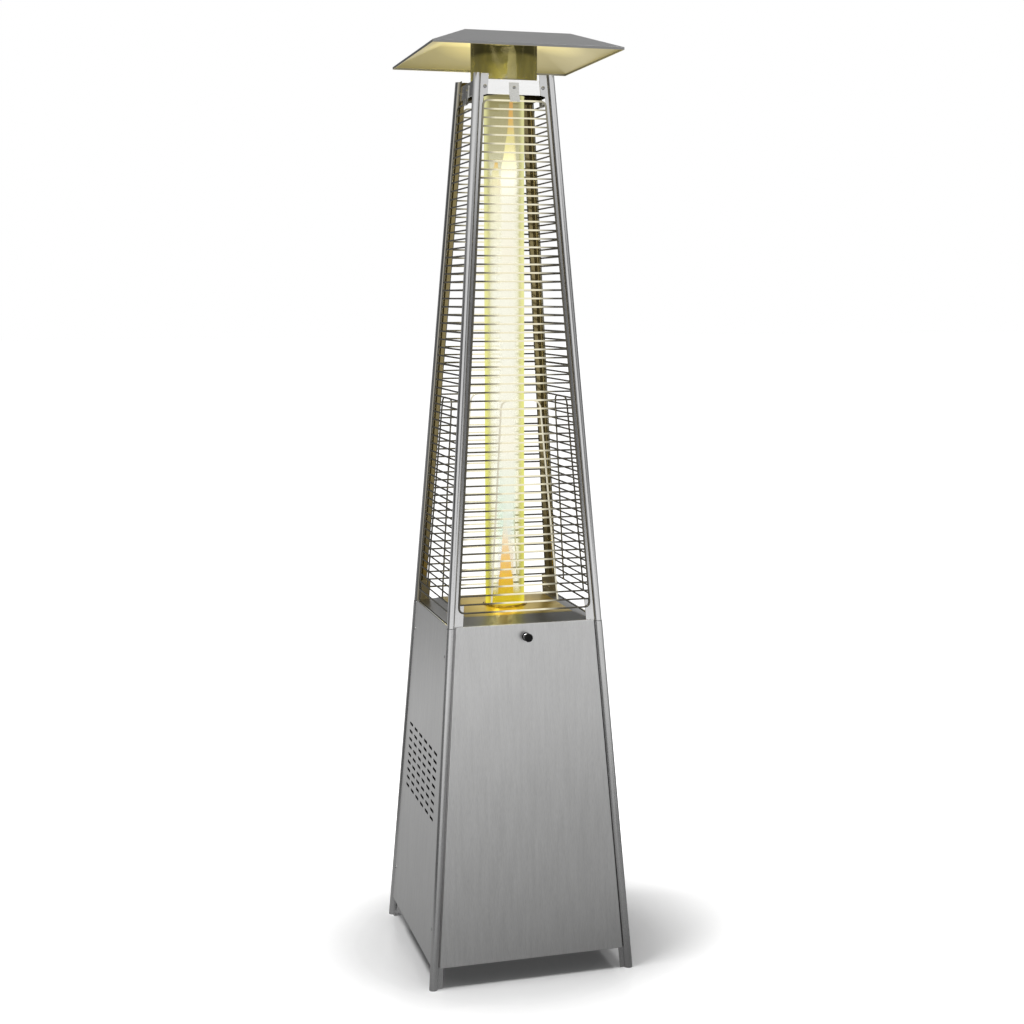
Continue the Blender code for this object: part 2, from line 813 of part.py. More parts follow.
def top_frame():
    """A band behind the posts' tabs, folded in to a deck and down to a collar round the glass."""
    collar = GLASS_OUT + COLLAR_SLACK
    rings = [
        square_ring(half(FRAME_BOTTOM) - FRAME_INSET, FRAME_BOTTOM),
        square_ring(half(DECK_TOP) - FRAME_INSET, DECK_TOP),
        round_ring(collar, DECK_TOP),
        round_ring(collar, DECK_TOP - COLLAR_TALL),
    ]
    frame = pressed("top_frame", rings, "bright")
    for side in SIDES:
        for hand in (-1, 1):
            cut(frame, screw_hole(f"band_hole_{side}_{hand + 1}", side, hand))


def frame_screw(side, hand):
    """A pan-head screw through the post's tab and the frame behind it."""
    under = SHEET / 2 + SEAM
    top = under + SCREW_HEAD_TALL
    rim = (under + top) / 2
    tip = under - SCREW_LONG
    profile = [(0.0, top), (SCREW_HEAD - (top - rim), top), (SCREW_HEAD, rim), (SCREW_HEAD, under)]
    profile += [(SCREW_RADIUS, under), (SCREW_RADIUS, tip), (0.0, tip)]
    name = f"frame_screw_{side}_{'left' if hand < 0 else 'right'}"
    turned(name, profile, screw_place(side, hand), 8, "dark")


# Glass tube
def glass_seat():
    low = PLATE_TOP + SEAM
    lip = GLASS_OUT + SEAT_SLACK
    lip_top = SEAT_TOP + SEAT_LIP
    profile = [(SEAT_IN, SEAT_TOP), (lip, SEAT_TOP), (lip, lip_top), (lip + SHEET, lip_top)]
    profile += [(lip + SHEET, SEAT_TOP), (SEAT_OUT, SEAT_TOP), (SEAT_OUT, low), (SEAT_IN, low)]
    turned("glass_seat", profile, sides=RING_POINTS, look="bright")


def glass_tube():
    profile = ring_profile(GLASS_OUT - GLASS_WALL, GLASS_OUT, GLASS_BOTTOM, GLASS_TOP)
    turned("glass_tube", profile, sides=RING_POINTS, look="glass")


# Controls
BOX_FRONT = BOX_SETBACK - PLATE_FLAT
BOX_DEEP = -BOX_FRONT - CUP_RADIUS - BOX_TO_CUP
VALVE_PLACE = facing_front(VALVE_X, BOX_FRONT, CONTROL_Z)
VALVE_FRONT = -SHEET - LOOSE
VALVE_BACK = VALVE_FRONT - VALVE_DEEP
IGNITER_PLACE = facing_front(IGNITER_X, BOX_FRONT, CONTROL_Z)


def control_box():
    """A box of sheet with no back and no bottom, under the burner plate."""
    top = PLATE_TOP - SHEET - SEAM
    size = Matrix.Diagonal((BOX_WIDE, BOX_DEEP, BOX_TALL, 1.0))
    middle = Matrix.Translation((0.0, BOX_FRONT + BOX_DEEP / 2, top - BOX_TALL / 2))
    shape = bmesh.new()
    bmesh.ops.create_cube(shape, size=1.0, matrix=middle @ size)
    shape.normal_update()
    unwanted = [side for side in shape.faces if side.normal.y > 0.5 or side.normal.z < -0.5]
    bmesh.ops.delete(shape, geom=unwanted, context="FACES")
    box = from_shape("control_box", shape, UPRIGHT, "brushed")
    thicken(box, SHEET)
    cut(box, rod("nose_hole", NOSE_RADIUS + LOOSE, -OVERRUN, OVERRUN, VALVE_PLACE))
    cut(box, rod("igniter_hole", IGNITER_RADIUS + LOOSE, -OVERRUN, OVERRUN, IGNITER_PLACE))


def gas_valve():
    side = (-VALVE_WIDE / 2, VALVE_WIDE / 2)
    body = block("gas_valve", side, side, (VALVE_BACK, VALVE_FRONT), VALVE_PLACE, "brass")
    join(body, rod("valve_nose", NOSE_RADIUS, VALVE_FRONT - NOSE_LONG, NOSE_LONG, VALVE_PLACE))
    port = facing_right(VALVE_X + VALVE_WIDE / 2, BOX_FRONT + PORT_DEPTH, CONTROL_Z + PORT_RISE)
    join(body, rod("valve_port", PORT_RADIUS, -PORT_LONG, PORT_LONG, port, 12))
    bore = (-SPINDLE_DEPTH - SPINDLE_ROOM, NOSE_LONG + OVERRUN)
    cut(body, rod("valve_bore", SPINDLE_BORE, *bore, VALVE_PLACE))


def valve_spindle():
    front = DIAL_STANDOFF + SOCKET_SHARE * DIAL_THICK - SEAM
    return rod("valve_spindle", SPINDLE_RADIUS, -SPINDLE_DEPTH, front, VALVE_PLACE, look="bright")


def control_knob():
    profile = [(r * DIAL_RADIUS, DIAL_STANDOFF + s * DIAL_THICK) for r, s in DIAL_SHARES]
    socket = DIAL_STANDOFF + SOCKET_SHARE * DIAL_THICK
    profile += [(SPINDLE_BORE, DIAL_STANDOFF), (SPINDLE_BORE, socket), (0.0, socket)]
    knob = turned("control_knob", profile, VALVE_PLACE, look="plastic")
    front = DIAL_STANDOFF + DIAL_THICK
    wide = (-GRIP_WIDE / 2, GRIP_WIDE / 2)
    tall = (-GRIP_LONG / 2, GRIP_LONG / 2)
    join(knob, block("knob_grip", wide, tall, (front - SHEET, front + GRIP_PROUD), VALVE_PLACE))
    return knob


def igniter_body():
    bore = BUTTON_RADIUS + RUNNING
    floor = -BUTTON_DEPTH - BUTTON_ROOM
    lip = SEAM + IGNITER_LIP_TALL
    profile = [(0.0, floor), (bore, floor), (bore, lip), (IGNITER_LIP, lip), (IGNITER_LIP, SEAM)]
    profile += [(IGNITER_RADIUS, SEAM), (IGNITER_RADIUS, -IGNITER_DEEP), (0.0, -IGNITER_DEEP)]
    turned("igniter_body", profile, IGNITER_PLACE, look="plastic")


def igniter_button():
    return rod("igniter_button", BUTTON_RADIUS, -BUTTON_DEPTH, BUTTON_OUT, IGNITER_PLACE, look="red")


def tilt_switch():
    wall = BOX_WIDE / 2 + SEAM
    front = BOX_FRONT + TILT_SETBACK
    tall = (CONTROL_Z - TILT_SIDE / 2, CONTROL_Z + TILT_SIDE / 2)
    block("tilt_switch", (wall, wall + TILT_WIDE), (front, front + TILT_SIDE), tall, look="plastic")


# Gas train
INJECTOR_Z = PLATE_TOP - INJECTOR_DROP


def gas_inlet():
    top = CONTROL_Z - VALVE_WIDE / 2 - SEAM
    profile = [(r * INLET_RADIUS, top - s * INLET_LONG) for r, s in INLET_SHARES]
    place = Matrix.Translation((VALVE_X, BOX_FRONT + INLET_DEPTH, 0.0))
    turned("gas_inlet", profile, place, 12, "brass")


def injector():
    flange = CUP_NECK - SHEET - LOOSE
    profile = [(r * flange, INJECTOR_Z + s * INJECTOR_LONG) for r, s in INJECTOR_SHARES]
    turned("injector", profile, sides=12, look="brass")


def feed_tube():
    port_end = VALVE_X + VALVE_WIDE / 2 + PORT_LONG + LOOSE
    start = (port_end, BOX_FRONT + PORT_DEPTH, CONTROL_Z + PORT_RISE)
    end = (0.0, 0.0, INJECTOR_Z - SEAM)
    tube("feed_tube", bent(along(start, end, FEED_SHARES)), FEED_RADIUS, look="copper")


def valve_socket(x, z):
    """Where a pipe leaves the back of the valve, set off from its spindle."""
    return VALVE_X + x, BOX_FRONT - VALVE_BACK + LOOSE, CONTROL_Z + z


def pilot_tube():
    start = valve_socket(-SOCKET_OFFSET, SOCKET_OFFSET)
    end = (*plate_port(PILOT_ANGLE), PLATE_TOP + PILOT_RISE)
    tube("pilot_tube", bent(along(start, end, PILOT_SHARES)), PILOT_RADIUS, look="copper")


def thermocouple():
    start = valve_socket(SOCKET_OFFSET, -SOCKET_OFFSET)
    end = (*plate_port(COUPLE_ANGLE), PLATE_TOP + COUPLE_RISE)
    tube("thermocouple", bent(along(start, end, COUPLE_SHARES)), COUPLE_RADIUS, look="copper")


def spark_electrode():
    low, high = PLATE_TOP - SPARK_DROP, PLATE_TOP + SPARK_RISE
    profile = [(r * SPARK_RADIUS, low + s * (high - low)) for r, s in SPARK_SHARES]
    place = Matrix.Translation((*plate_port(SPARK_ANGLE), 0.0))
    turned("spark_electrode", profile, place, 12, "ceramic")


def ignition_lead():
    start = (IGNITER_X, BOX_FRONT + IGNITER_DEEP + LOOSE, CONTROL_Z)
    end = (*plate_port(SPARK_ANGLE), PLATE_TOP - SPARK_DROP - LOOSE)
    tube("ignition_lead", bent(along(start, end, LEAD_SHARES)), LEAD_RADIUS, look="plastic")


def burner_cup():
    low = PLATE_TOP - CUP_DEEP
    cone = low + NECK_TALL
    wall = cone + CONE_TALL
    lip = PLATE_TOP + SEAM
    bore, inside = CUP_NECK - SHEET, CUP_RADIUS - SHEET
    profile = [(CUP_NECK, low), (CUP_NECK, cone), (CUP_RADIUS, wall), (CUP_RADIUS, lip)]
    profile += [(CUP_RADIUS + CUP_LIP, lip), (CUP_RADIUS + CUP_LIP, lip + SHEET)]
    profile += [(inside, lip + SHEET), (inside, wall + SHEET / 2), (bore, cone + SHEET / 2), (bore, low)]
    cup = turned("burner_cup", profile, sides=20, look="dark")
    slot_low = low + AIR_SLOT_UP
    tall = (slot_low, slot_low + AIR_SLOT_TALL)
    narrow = (-AIR_SLOT_WIDE / 2, AIR_SLOT_WIDE / 2)
    across = (-CUP_RADIUS, CUP_RADIUS)
    cut(cup, block("air_slot_x", across, narrow, tall), block("air_slot_y", narrow, across, tall))


def burner_grid():
    low = PLATE_TOP + SEAM + SHEET + SEAM
    disc = rod("burner_grid", CUP_RADIUS + CUP_LIP, low, low + SHEET, look="dark")
    places = [(0.0, 0.0)]
    for n in range(GRID_HOLES):
        a = 2 * math.pi * n / GRID_HOLES
        places.append((GRID_CIRCLE * math.cos(a), GRID_CIRCLE * math.sin(a)))
    for n, (x, y) in enumerate(places):
        place = Matrix.Translation((x, y, low))
        cut(disc, rod(f"grid_hole_{n}", GRID_HOLE_RADIUS, -OVERRUN, OVERRUN, place, 8))


# Guards
def wire_z(number):
    """Height of a guard's cross wire, numbered from the top."""
    return GUARD_TOP - number * (GUARD_TOP - GUARD_BOTTOM) / GUARD_GAPS


def guard_hoop(side):
    """The upside-down U behind the lower wires, standing on one of them."""
    foot, head = wire_z(HOOP_FOOT), wire_z(HOOP_HEAD)
    behind = GUARD_BACK - SEAM - HOOP_RADIUS
    inside = GUARD_BACK + GUARD_DEEP / 2
    left, right = slanted_line(-1, HOOP_INSET), slanted_line(1, HOOP_INSET)
    points = [
        (left(foot), climb(foot), inside),
        (left(foot), climb(foot), behind),
        (left(head), climb(head), behind),
        (right(head), climb(head), behind),
        (right(foot), climb(foot), behind),
        (right(foot), climb(foot), inside),
    ]
    return as_mesh(f"hoop_{side}", tube(f"hoop_bar_{side}", points, HOOP_RADIUS, face(side)))


def guard(side):
    """A welded wire panel: two rails along the posts and the cross wires between them."""
    outer = UPPER_RADIUS + RAIL_GAP
    inner = outer + RAIL_WIDE
    columns = [slanted_line(-1, outer), slanted_line(-1, inner)]
    columns += [slanted_line(1, inner), slanted_line(1, outer)]
    rows = []
    for number in reversed(range(GUARD_GAPS + 1)):
        tall = WIRE_TALL
        if number in (0, GUARD_GAPS):
            tall = RAIL_WIDE
        elif number == CROSSBAR:
            tall = CROSSBAR_TALL
        rows += [wire_z(number) - tall / 2, wire_z(number) + tall / 2]
    sheet = (GUARD_BACK + GUARD_DEEP, GUARD_DEEP, "bright")
    wires = face_sheet(f"guard_{side}", side, columns, rows, lambda i, j: i == 1 and j % 2 == 1, *sheet)
    join(wires, guard_hoop(side))


def guard_clip(side):
    """A bent strip on the frame, whose foot holds the guard's top wire."""
    back = -FRAME_INSET + SEAM
    front = GUARD_BACK + GUARD_DEEP + CLIP_SLACK + SHEET
    foot = -RAIL_WIDE / 2 - SEAM - SHEET
    path = ((CLIP_ABOVE_WIRE, back), (foot, back), (foot, front), (CLIP_HOOK, front))
    shape = bmesh.new()
    rows = [[shape.verts.new((x, up, out)) for x in (-CLIP_WIDE / 2, CLIP_WIDE / 2)] for up, out in path]
    for low, high in zip(rows, rows[1:]):
        shape.faces.new((low[0], low[1], high[1], high[0]))
    turn_out(shape, lambda first: -first.normal.z)
    clip = from_shape(f"guard_clip_{side}", shape, face(side, z=GUARD_TOP), "bright")
    thicken(clip, SHEET)


# Flame screen and reflector
def flame_screen():
    radius = half(DECK_TOP) - SCREEN_INSET
    profile = ring_profile(radius - SHEET, radius, DECK_TOP + SEAM, SCREEN_TOP)
    turned("flame_screen", profile, sides=RING_POINTS, look="dark")


def reflector():
    rim_z = HEIGHT - REFLECTOR_DROP
    rings = [
        square(REFLECTOR_HALF, rim_z - REFLECTOR_LIP),
        square(REFLECTOR_HALF, rim_z),
        square(REFLECTOR_FLAT, HEIGHT),
    ]
    pressed("reflector", rings, "brushed", caps=(-1,))


# Assembly
for corner in CORNERS:
    lower_post(corner)
    upper_post(corner)
    post_splice(corner)
base_shelf()
vented_panel("side_panel_left", "left")
vented_panel("side_panel_right", "right")
panel("back_panel", "back")
catch_block("door_magnet", -PLATE_INSET + SEAM, CATCH_PROUD, "dark")
strike = catch_block("door_strike", CATCH_PROUD + SEAM, PANEL_OUT - PANEL_SHEET - SEAM, "bright")
carried_by("door_pivot", HINGE_AT, front_door(), door_knob(), strike)
door_hinge_rod()
burner_plate()
glass_seat()
glass_tube()
control_box()
gas_valve()
carried_by("valve_pivot", VALVE_PLACE.translation, valve_spindle(), control_knob())
igniter_body()
carried_by("button_pivot", IGNITER_PLACE.translation, igniter_button())
gas_inlet()
feed_tube()
injector()
burner_cup()
burner_grid()
pilot_tube()
thermocouple()
spark_electrode()
ignition_lead()
tilt_switch()
top_frame()
for side in SIDES:
    guard_clip(side)
    guard(side)
    for hand in (-1, 1):
        frame_screw(side, hand)
flame_screen()
reflector()
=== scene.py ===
"""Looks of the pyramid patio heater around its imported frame, in metres."""

import json
import math

import bmesh
import bpy
from mathutils import Matrix, Vector

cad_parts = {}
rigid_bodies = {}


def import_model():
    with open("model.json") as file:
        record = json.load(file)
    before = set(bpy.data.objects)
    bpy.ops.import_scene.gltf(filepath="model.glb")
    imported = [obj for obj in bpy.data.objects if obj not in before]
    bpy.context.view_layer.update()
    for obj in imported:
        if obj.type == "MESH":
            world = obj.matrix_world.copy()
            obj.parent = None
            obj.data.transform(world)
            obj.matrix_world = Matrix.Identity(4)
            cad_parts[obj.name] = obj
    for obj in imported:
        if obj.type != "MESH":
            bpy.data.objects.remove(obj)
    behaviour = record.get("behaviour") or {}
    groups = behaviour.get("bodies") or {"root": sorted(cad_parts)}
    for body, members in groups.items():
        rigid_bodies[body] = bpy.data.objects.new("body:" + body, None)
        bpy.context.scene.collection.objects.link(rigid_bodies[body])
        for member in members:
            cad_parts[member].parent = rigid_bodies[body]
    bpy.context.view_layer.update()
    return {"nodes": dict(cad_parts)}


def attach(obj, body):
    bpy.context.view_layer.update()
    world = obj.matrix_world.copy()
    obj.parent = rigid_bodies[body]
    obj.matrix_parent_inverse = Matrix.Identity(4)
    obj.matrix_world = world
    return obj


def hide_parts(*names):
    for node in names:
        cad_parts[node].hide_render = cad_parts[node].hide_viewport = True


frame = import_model()
nodes = frame["nodes"]
for old in [o for o in bpy.data.objects if o.type in ("CAMERA", "LIGHT") or o.name == "Cube"]:
    bpy.data.objects.remove(old, do_unlink=True)

# The frame's own measures
HALF_AT_FLOOR = 0.2490
HALF_AT_DECK = 0.0905
SLOPE = (HALF_AT_FLOOR - HALF_AT_DECK) / 2.1650
LEAN = math.atan(SLOPE)
SIDES = ("front", "right", "back", "left")
FLAME_RIGHT = Vector((0.963, -0.269, 0.0))
PANEL_BOTTOM = 0.0515
PANEL_TOP = 0.8740
PANEL_EDGE = 0.0120
PANEL_OUT = 0.0060
PANEL_DEEP = 0.0050
PANEL_SHEET = 0.0010
PLATE_TOP = 0.8885
SEAT_TOP = 0.8900
GLASS_BOTTOM = 0.8903
GLASS_TOP = 2.1403
GLASS_OUT = 0.0490
GLASS_WALL = 0.0030
DECK_TOP = 2.1650
SCREEN_TOP = 2.2685
GUARD_TOP = 2.1155
GUARD_BOTTOM = 0.9060
GUARD_OUT = 0.0025
GUARD_GAPS = 60
CROSSBAR = 31
HOOP_FOOT = 59
HOOP_HEAD = 35
WIRE_RADIUS = 0.0021
RAIL_RADIUS = 0.0023
RAIL_CORNER = 0.0140
CROSSBAR_RADIUS = 0.0025
HOOP_CORNER = 0.0220
WELD_LAP = 0.0008
HINGE_Z = 0.0540
ROLL_RADIUS = 0.002345
EAR_GAP = (0.144, 0.156)
BOX_FRONT = -0.12915


def half(z):
    return HALF_AT_FLOOR - SLOPE * z


def on_face(side, x, z, out=0.0):
    """A point on a face at height z, out along its normal."""
    turn = Matrix.Rotation(math.radians(90 * SIDES.index(side)), 3, "Z")
    return turn @ Vector((x, -half(z) - out * math.cos(LEAN), z + out * math.sin(LEAN)))


def face_place(side, x, z, out=0.0):
    """A frame there: X along the face, Y up its slant, Z out."""
    turn = Matrix.Rotation(math.radians(90 * SIDES.index(side)), 4, "Z")
    lean = Matrix.Rotation(math.pi / 2 - LEAN, 4, "X")
    return Matrix.Translation(on_face(side, x, z, out)) @ turn @ lean


# Node helpers
def add(tree, kind, settings=None, **inputs):
    node = tree.nodes.new("ShaderNode" + kind)
    for key, value in (settings or {}).items():
        setattr(node, key, value)
    for key, value in inputs.items():
        feed(tree, node.inputs[key.replace("_", " ")], value)
    return node


def feed(tree, socket, value):
    if isinstance(value, bpy.types.NodeSocket):
        tree.links.new(value, socket)
    else:
        socket.default_value = value


def calc(tree, operation, *values, clamp=False):
    node = tree.nodes.new("ShaderNodeMath")
    node.operation = operation
    node.use_clamp = clamp
    for socket, value in zip(node.inputs, values):
        feed(tree, socket, value)
    return node.outputs[0]


def blend_colour(tree, share, low, high):
    node = tree.nodes.new("ShaderNodeMix")
    node.data_type = "RGBA"
    for index, value in ((0, share), (6, low), (7, high)):
        if isinstance(value, tuple) and len(value) == 3:
            value = (*value, 1.0)
        feed(tree, node.inputs[index], value)
    return node.outputs[2]


def ramp(tree, share, stops):
    """A colour ramp from (place, grey or colour) stops."""
    node = tree.nodes.new("ShaderNodeValToRGB")
    elements = node.color_ramp.elements
    while len(elements) < len(stops):
        elements.new(0.5)
    for element, (place, colour) in zip(elements, stops):
        element.position = place
        element.color = (colour, colour, colour, 1.0) if isinstance(colour, float) else (*colour, 1.0)
    feed(tree, node.inputs[0], share)
    return node.outputs[0]


def noise(tree, coordinates, scale, detail=3.0, stretch=(1.0, 1.0, 1.0)):
    mapping = add(tree, "Mapping", Vector=coordinates, Scale=stretch)
    texture = add(tree, "TexNoise", Vector=mapping.outputs[0], Scale=scale, Detail=detail)
    return texture.outputs[0]


def new_material(name):
    made = bpy.data.materials.new(name)
    made.use_nodes = True
    tree = made.node_tree
    tree.nodes.clear()
    output = tree.nodes.new("ShaderNodeOutputMaterial")
    return made, tree, output


def scaled(colour, factor):
    return tuple(min(1.0, c * factor) for c in colour)


# How the grain's noise is squeezed along each axis
GRAIN_UP = (1.0, 1.0, 0.008)
GRAIN_LEVEL = (0.012, 0.012, 1.0)
GRAIN_ACROSS = (0.02, 1.0, 1.0)
NO_GRAIN = (1.0, 1.0, 1.0)


def steel(
    name, colour, rough, grain=GRAIN_UP, contrast=0.08, grain_scale=900.0, bump=0.12, tint=None, glow=None
):
    """Brushed steel: grain in colour, roughness and bump, with smudges. tint and glow are functions
    that return a second colour and its share, and a light of its own and its strength."""
    made, tree, output = new_material(name)
    place = add(tree, "TexCoord").outputs["Object"]
    fine = noise(tree, place, grain_scale, 2.0, grain)
    broad = noise(tree, place, grain_scale * 0.12, 2.0, grain)
    smudge = noise(tree, place, 9.0, 4.0)
    streak = calc(tree, "ADD", calc(tree, "MULTIPLY", fine, 0.6), calc(tree, "MULTIPLY", broad, 0.4))
    shade = ramp(tree, streak, ((0.3, scaled(colour, 1 - contrast)), (0.7, scaled(colour, 1 + contrast))))
    shade = blend_colour(tree, calc(tree, "MULTIPLY", smudge, 0.12), shade, scaled(colour, 0.72))
    if tint:
        second, share = tint(tree, place)
        shade = blend_colour(tree, share, shade, second)
    roughness = calc(tree, "ADD", calc(tree, "MULTIPLY", streak, 0.16), rough - 0.08)
    roughness = calc(tree, "ADD", roughness, calc(tree, "MULTIPLY", smudge, 0.06))
    relief = add(tree, "Bump", Strength=bump, Distance=0.0004, Height=streak)
    shader = add(tree, "BsdfPrincipled", Base_Color=shade, Metallic=1.0, Roughness=roughness)
    tree.links.new(relief.outputs[0], shader.inputs["Normal"])
    if glow:
        shine, strength = glow(tree, place)
        feed(tree, shader.inputs["Emission Color"], (*shine, 1.0))
        feed(tree, shader.inputs["Emission Strength"], strength)
    tree.links.new(shader.outputs[0], output.inputs[0])
    return made


def plain(name, colour, rough, metallic=0.0, scale=400.0, depth=0.00015, coat=0.0, specular=0.5):
    """Moulded, painted or cast surfaces: a fine texture in colour, roughness and bump."""
    made, tree, output = new_material(name)
    place = add(tree, "TexCoord").outputs["Object"]
    fine = noise(tree, place, scale, 3.0)
    broad = noise(tree, place, 14.0, 4.0)
    share = calc(tree, "MULTIPLY", broad, 0.5)
    shade = blend_colour(tree, share, scaled(colour, 1.15), scaled(colour, 0.7))
    roughness = calc(tree, "ADD", calc(tree, "MULTIPLY", fine, 0.2), rough - 0.1)
    relief = add(tree, "Bump", Strength=0.4, Distance=depth, Height=fine)
    shader = add(tree, "BsdfPrincipled", Base_Color=shade, Metallic=metallic, Roughness=roughness)
    shader.inputs["Coat Weight"].default_value = coat
    shader.inputs["Specular IOR Level"].default_value = specular
    tree.links.new(relief.outputs[0], shader.inputs["Normal"])
    tree.links.new(shader.outputs[0], output.inputs[0])
    return made


def near_axis(colour, near, far, most, above):
    """A second colour that fades from radius near to radius far, on surfaces above a height. On the
    burner plate and glass seat it is painted light from the flame; on the burner it browns the middle.
    """

    def tint(tree, place):
        share = add(tree, "MapRange", Value=radius_of(tree, place))
        for key, value in (("From Min", near), ("From Max", far), ("To Min", most), ("To Max", 0.0)):
            share.inputs[key].default_value = value
        height = add(tree, "SeparateXYZ", Vector=place).outputs[2]
        return colour, calc(tree, "MULTIPLY", share.outputs[0], calc(tree, "GREATER_THAN", height, above))

    return tint


def towards_axis(tree, place):
    """How far a surface faces the flame."""
    geometry = add(tree, "NewGeometry")
    flat = add(tree, "VectorMath", {"operation": "MULTIPLY"})
    feed(tree, flat.inputs[0], place)
    flat.inputs[1].default_value = (1.0, 1.0, 0.0)
    unit = add(tree, "VectorMath", {"operation": "NORMALIZE"})
    feed(tree, unit.inputs[0], flat.outputs[0])
    dot = add(tree, "VectorMath", {"operation": "DOT_PRODUCT"})
    feed(tree, dot.inputs[0], unit.outputs[0])
    feed(tree, dot.inputs[1], geometry.outputs["Normal"])
    return calc(tree, "MULTIPLY", dot.outputs["Value"], -1.6, clamp=True)


def turned_in(colour, most):
    """A second colour, or an emitted light, on surfaces that face the flame. On the posts it is painted
    light and shade from the flame; on the top band it makes the inner face darker.
    """

    def tint(tree, place):
        return colour, calc(tree, "MULTIPLY", towards_axis(tree, place), most)

    return tint


def radius_of(tree, place):
    flat = add(tree, "VectorMath", {"operation": "MULTIPLY"})
    feed(tree, flat.inputs[0], place)
    flat.inputs[1].default_value = (1.0, 1.0, 0.0)
    length = add(tree, "VectorMath", {"operation": "LENGTH"})
    feed(tree, length.inputs[0], flat.outputs[0])
    return length.outputs["Value"]


def facing_down(tree):
    geometry = add(tree, "NewGeometry")
    normal = add(tree, "SeparateXYZ", Vector=geometry.outputs["Normal"])
    return calc(tree, "MULTIPLY", normal.outputs[2], -4.0, clamp=True)


def painted_light_facing_down(colour, most):
    """Painted light from the flame: a second colour on surfaces that face down, the underside of the
    reflector.
    """

    def tint(tree, place):
        return colour, calc(tree, "MULTIPLY", facing_down(tree), most)

    return tint


def lit_below(tree, place):
    """The flame's light on the underside of the reflector, strongest near the flame."""
    near = ramp(tree, radius_of(tree, place), ((0.08, 1.0), (0.13, 0.7), (0.2, 0.3), (0.36, 0.17)))
    return (1.0, 0.84, 0.3), calc(tree, "MULTIPLY", facing_down(tree), near)


def lit_even(tree, place):
    """The flame's light all along the front and back hoops."""
    return (1.0, 0.94, 0.74), 0.6


def lit_middle(tree, place):
    """The flame's light on the middle of the wires."""
    split = add(tree, "SeparateXYZ", Vector=place)
    across = (calc(tree, "ABSOLUTE", split.outputs[axis]) for axis in (0, 1))
    inner = calc(tree, "MULTIPLY", calc(tree, "MINIMUM", *across), 10.0)
    return (1.0, 0.94, 0.7), ramp(tree, inner, ((0.48, 0.78), (0.6, 0.42), (0.88, 0.0)))


# Materials
PANEL = steel("panel_grain", (0.73, 0.73, 0.725), 0.30, contrast=0.1)
POST_LOW = steel("post_low_grain", (0.6, 0.6, 0.6), 0.2, contrast=0.05)
# Painted light and shade from the flame: the upper posts' faces towards it are a darker olive with a weak
# warm glow.
POST_HIGH = steel(
    "post_high_grain",
    (0.62, 0.62, 0.62),
    0.1,
    contrast=0.04,
    bump=0.06,
    tint=turned_in((0.22, 0.18, 0.085), 0.92),
    glow=turned_in((1.0, 0.78, 0.38), 0.045),
)
# Painted shade: the back posts are a darker copy of the upper posts, with the same painted flame light
# and shade on their inner faces.
POST_BACK_PAINTED_SHADE = steel(
    "post_back_painted_shade",
    (0.46, 0.46, 0.455),
    0.1,
    contrast=0.05,
    bump=0.06,
    tint=turned_in((0.18, 0.145, 0.06), 0.95),
    glow=turned_in((1.0, 0.76, 0.3), 0.03),
)
BRIGHT = steel("bright_grain", (0.82, 0.82, 0.81), 0.3, NO_GRAIN, 0.04, 300.0)
BAND = steel(
    "band_grain", (1.0, 1.0, 0.99), 0.12, GRAIN_LEVEL, 0.02, tint=turned_in((0.1, 0.085, 0.05), 1.0)
)
CLIP = steel("clip_grain", (0.78, 0.78, 0.75), 0.25, GRAIN_LEVEL, 0.03)
# Painted light from the flame: the burner plate and glass seat turn yellow close to the glass.
PLATE = steel(
    "plate_grain",
    (0.3, 0.3, 0.295),
    0.3,
    GRAIN_ACROSS,
    0.06,
    tint=near_axis((0.88, 0.64, 0.1), 0.1, 0.3, 0.97, PLATE_TOP - 0.0015),
)
# Painted light from the flame: the reflector's underside is beige, and glows brightest near the flame.
COVER = steel(
    "cover_grain",
    (0.36, 0.36, 0.36),
    0.34,
    GRAIN_ACROSS,
    tint=painted_light_facing_down((0.42, 0.38, 0.27), 0.95),
    glow=lit_below,
)
WIRE = steel("wire_drawn", (0.15, 0.14, 0.115), 0.35, NO_GRAIN, 0.12, 160.0, glow=lit_middle)
WIRE_SIDE = steel("wire_side_drawn", (0.18, 0.17, 0.145), 0.35, NO_GRAIN, 0.12, 160.0)
WIRE_HOOP = steel("wire_hoop_drawn", (0.2, 0.19, 0.16), 0.35, NO_GRAIN, 0.12, 160.0, glow=lit_even)
SCREW = steel("screw_turned", (0.42, 0.42, 0.42), 0.28, grain=NO_GRAIN, grain_scale=700.0)
BURNER = steel(
    "burner_sheet", (0.34, 0.33, 0.31), 0.32, tint=near_axis((0.3, 0.2, 0.12), 0.0, 0.06, 0.5, 0.0)
)
SHELF = plain("shelf_paint", (0.035, 0.035, 0.037), 0.55)
BLACK = plain("black_moulded", (0.004, 0.004, 0.0045), 0.36, specular=0.2)
RED = plain("red_moulded", (0.55, 0.03, 0.02), 0.3, coat=0.5)
RUBBER = plain("lead_sheath", (0.03, 0.03, 0.032), 0.6)
CERAMIC = plain("ceramic_unglazed", (0.86, 0.84, 0.78), 0.6, depth=0.0001)
BRASS = plain("brass_cast", (0.72, 0.5, 0.2), 0.34, 1.0, 260.0, 0.0003)
COPPER = plain("copper_drawn", (0.76, 0.38, 0.22), 0.3, 1.0, 120.0, 0.0001)
WHITE_INK = plain("white_ink", (0.8, 0.8, 0.8), 0.5)
# Painted shade: the near-black of the strips that stand for the seat's air slots.
SLOT_PAINTED_SHADE = plain("slot_painted_shade", (0.012, 0.011, 0.009), 0.7)


def level_of(tree, place, low, high):
    """Height in the object as a share of the way from low to high."""
    level = add(tree, "MapRange", Value=add(tree, "SeparateXYZ", Vector=place).outputs[2])
    level.inputs["From Min"].default_value = low
    level.inputs["From Max"].default_value = high
    return level.outputs[0]


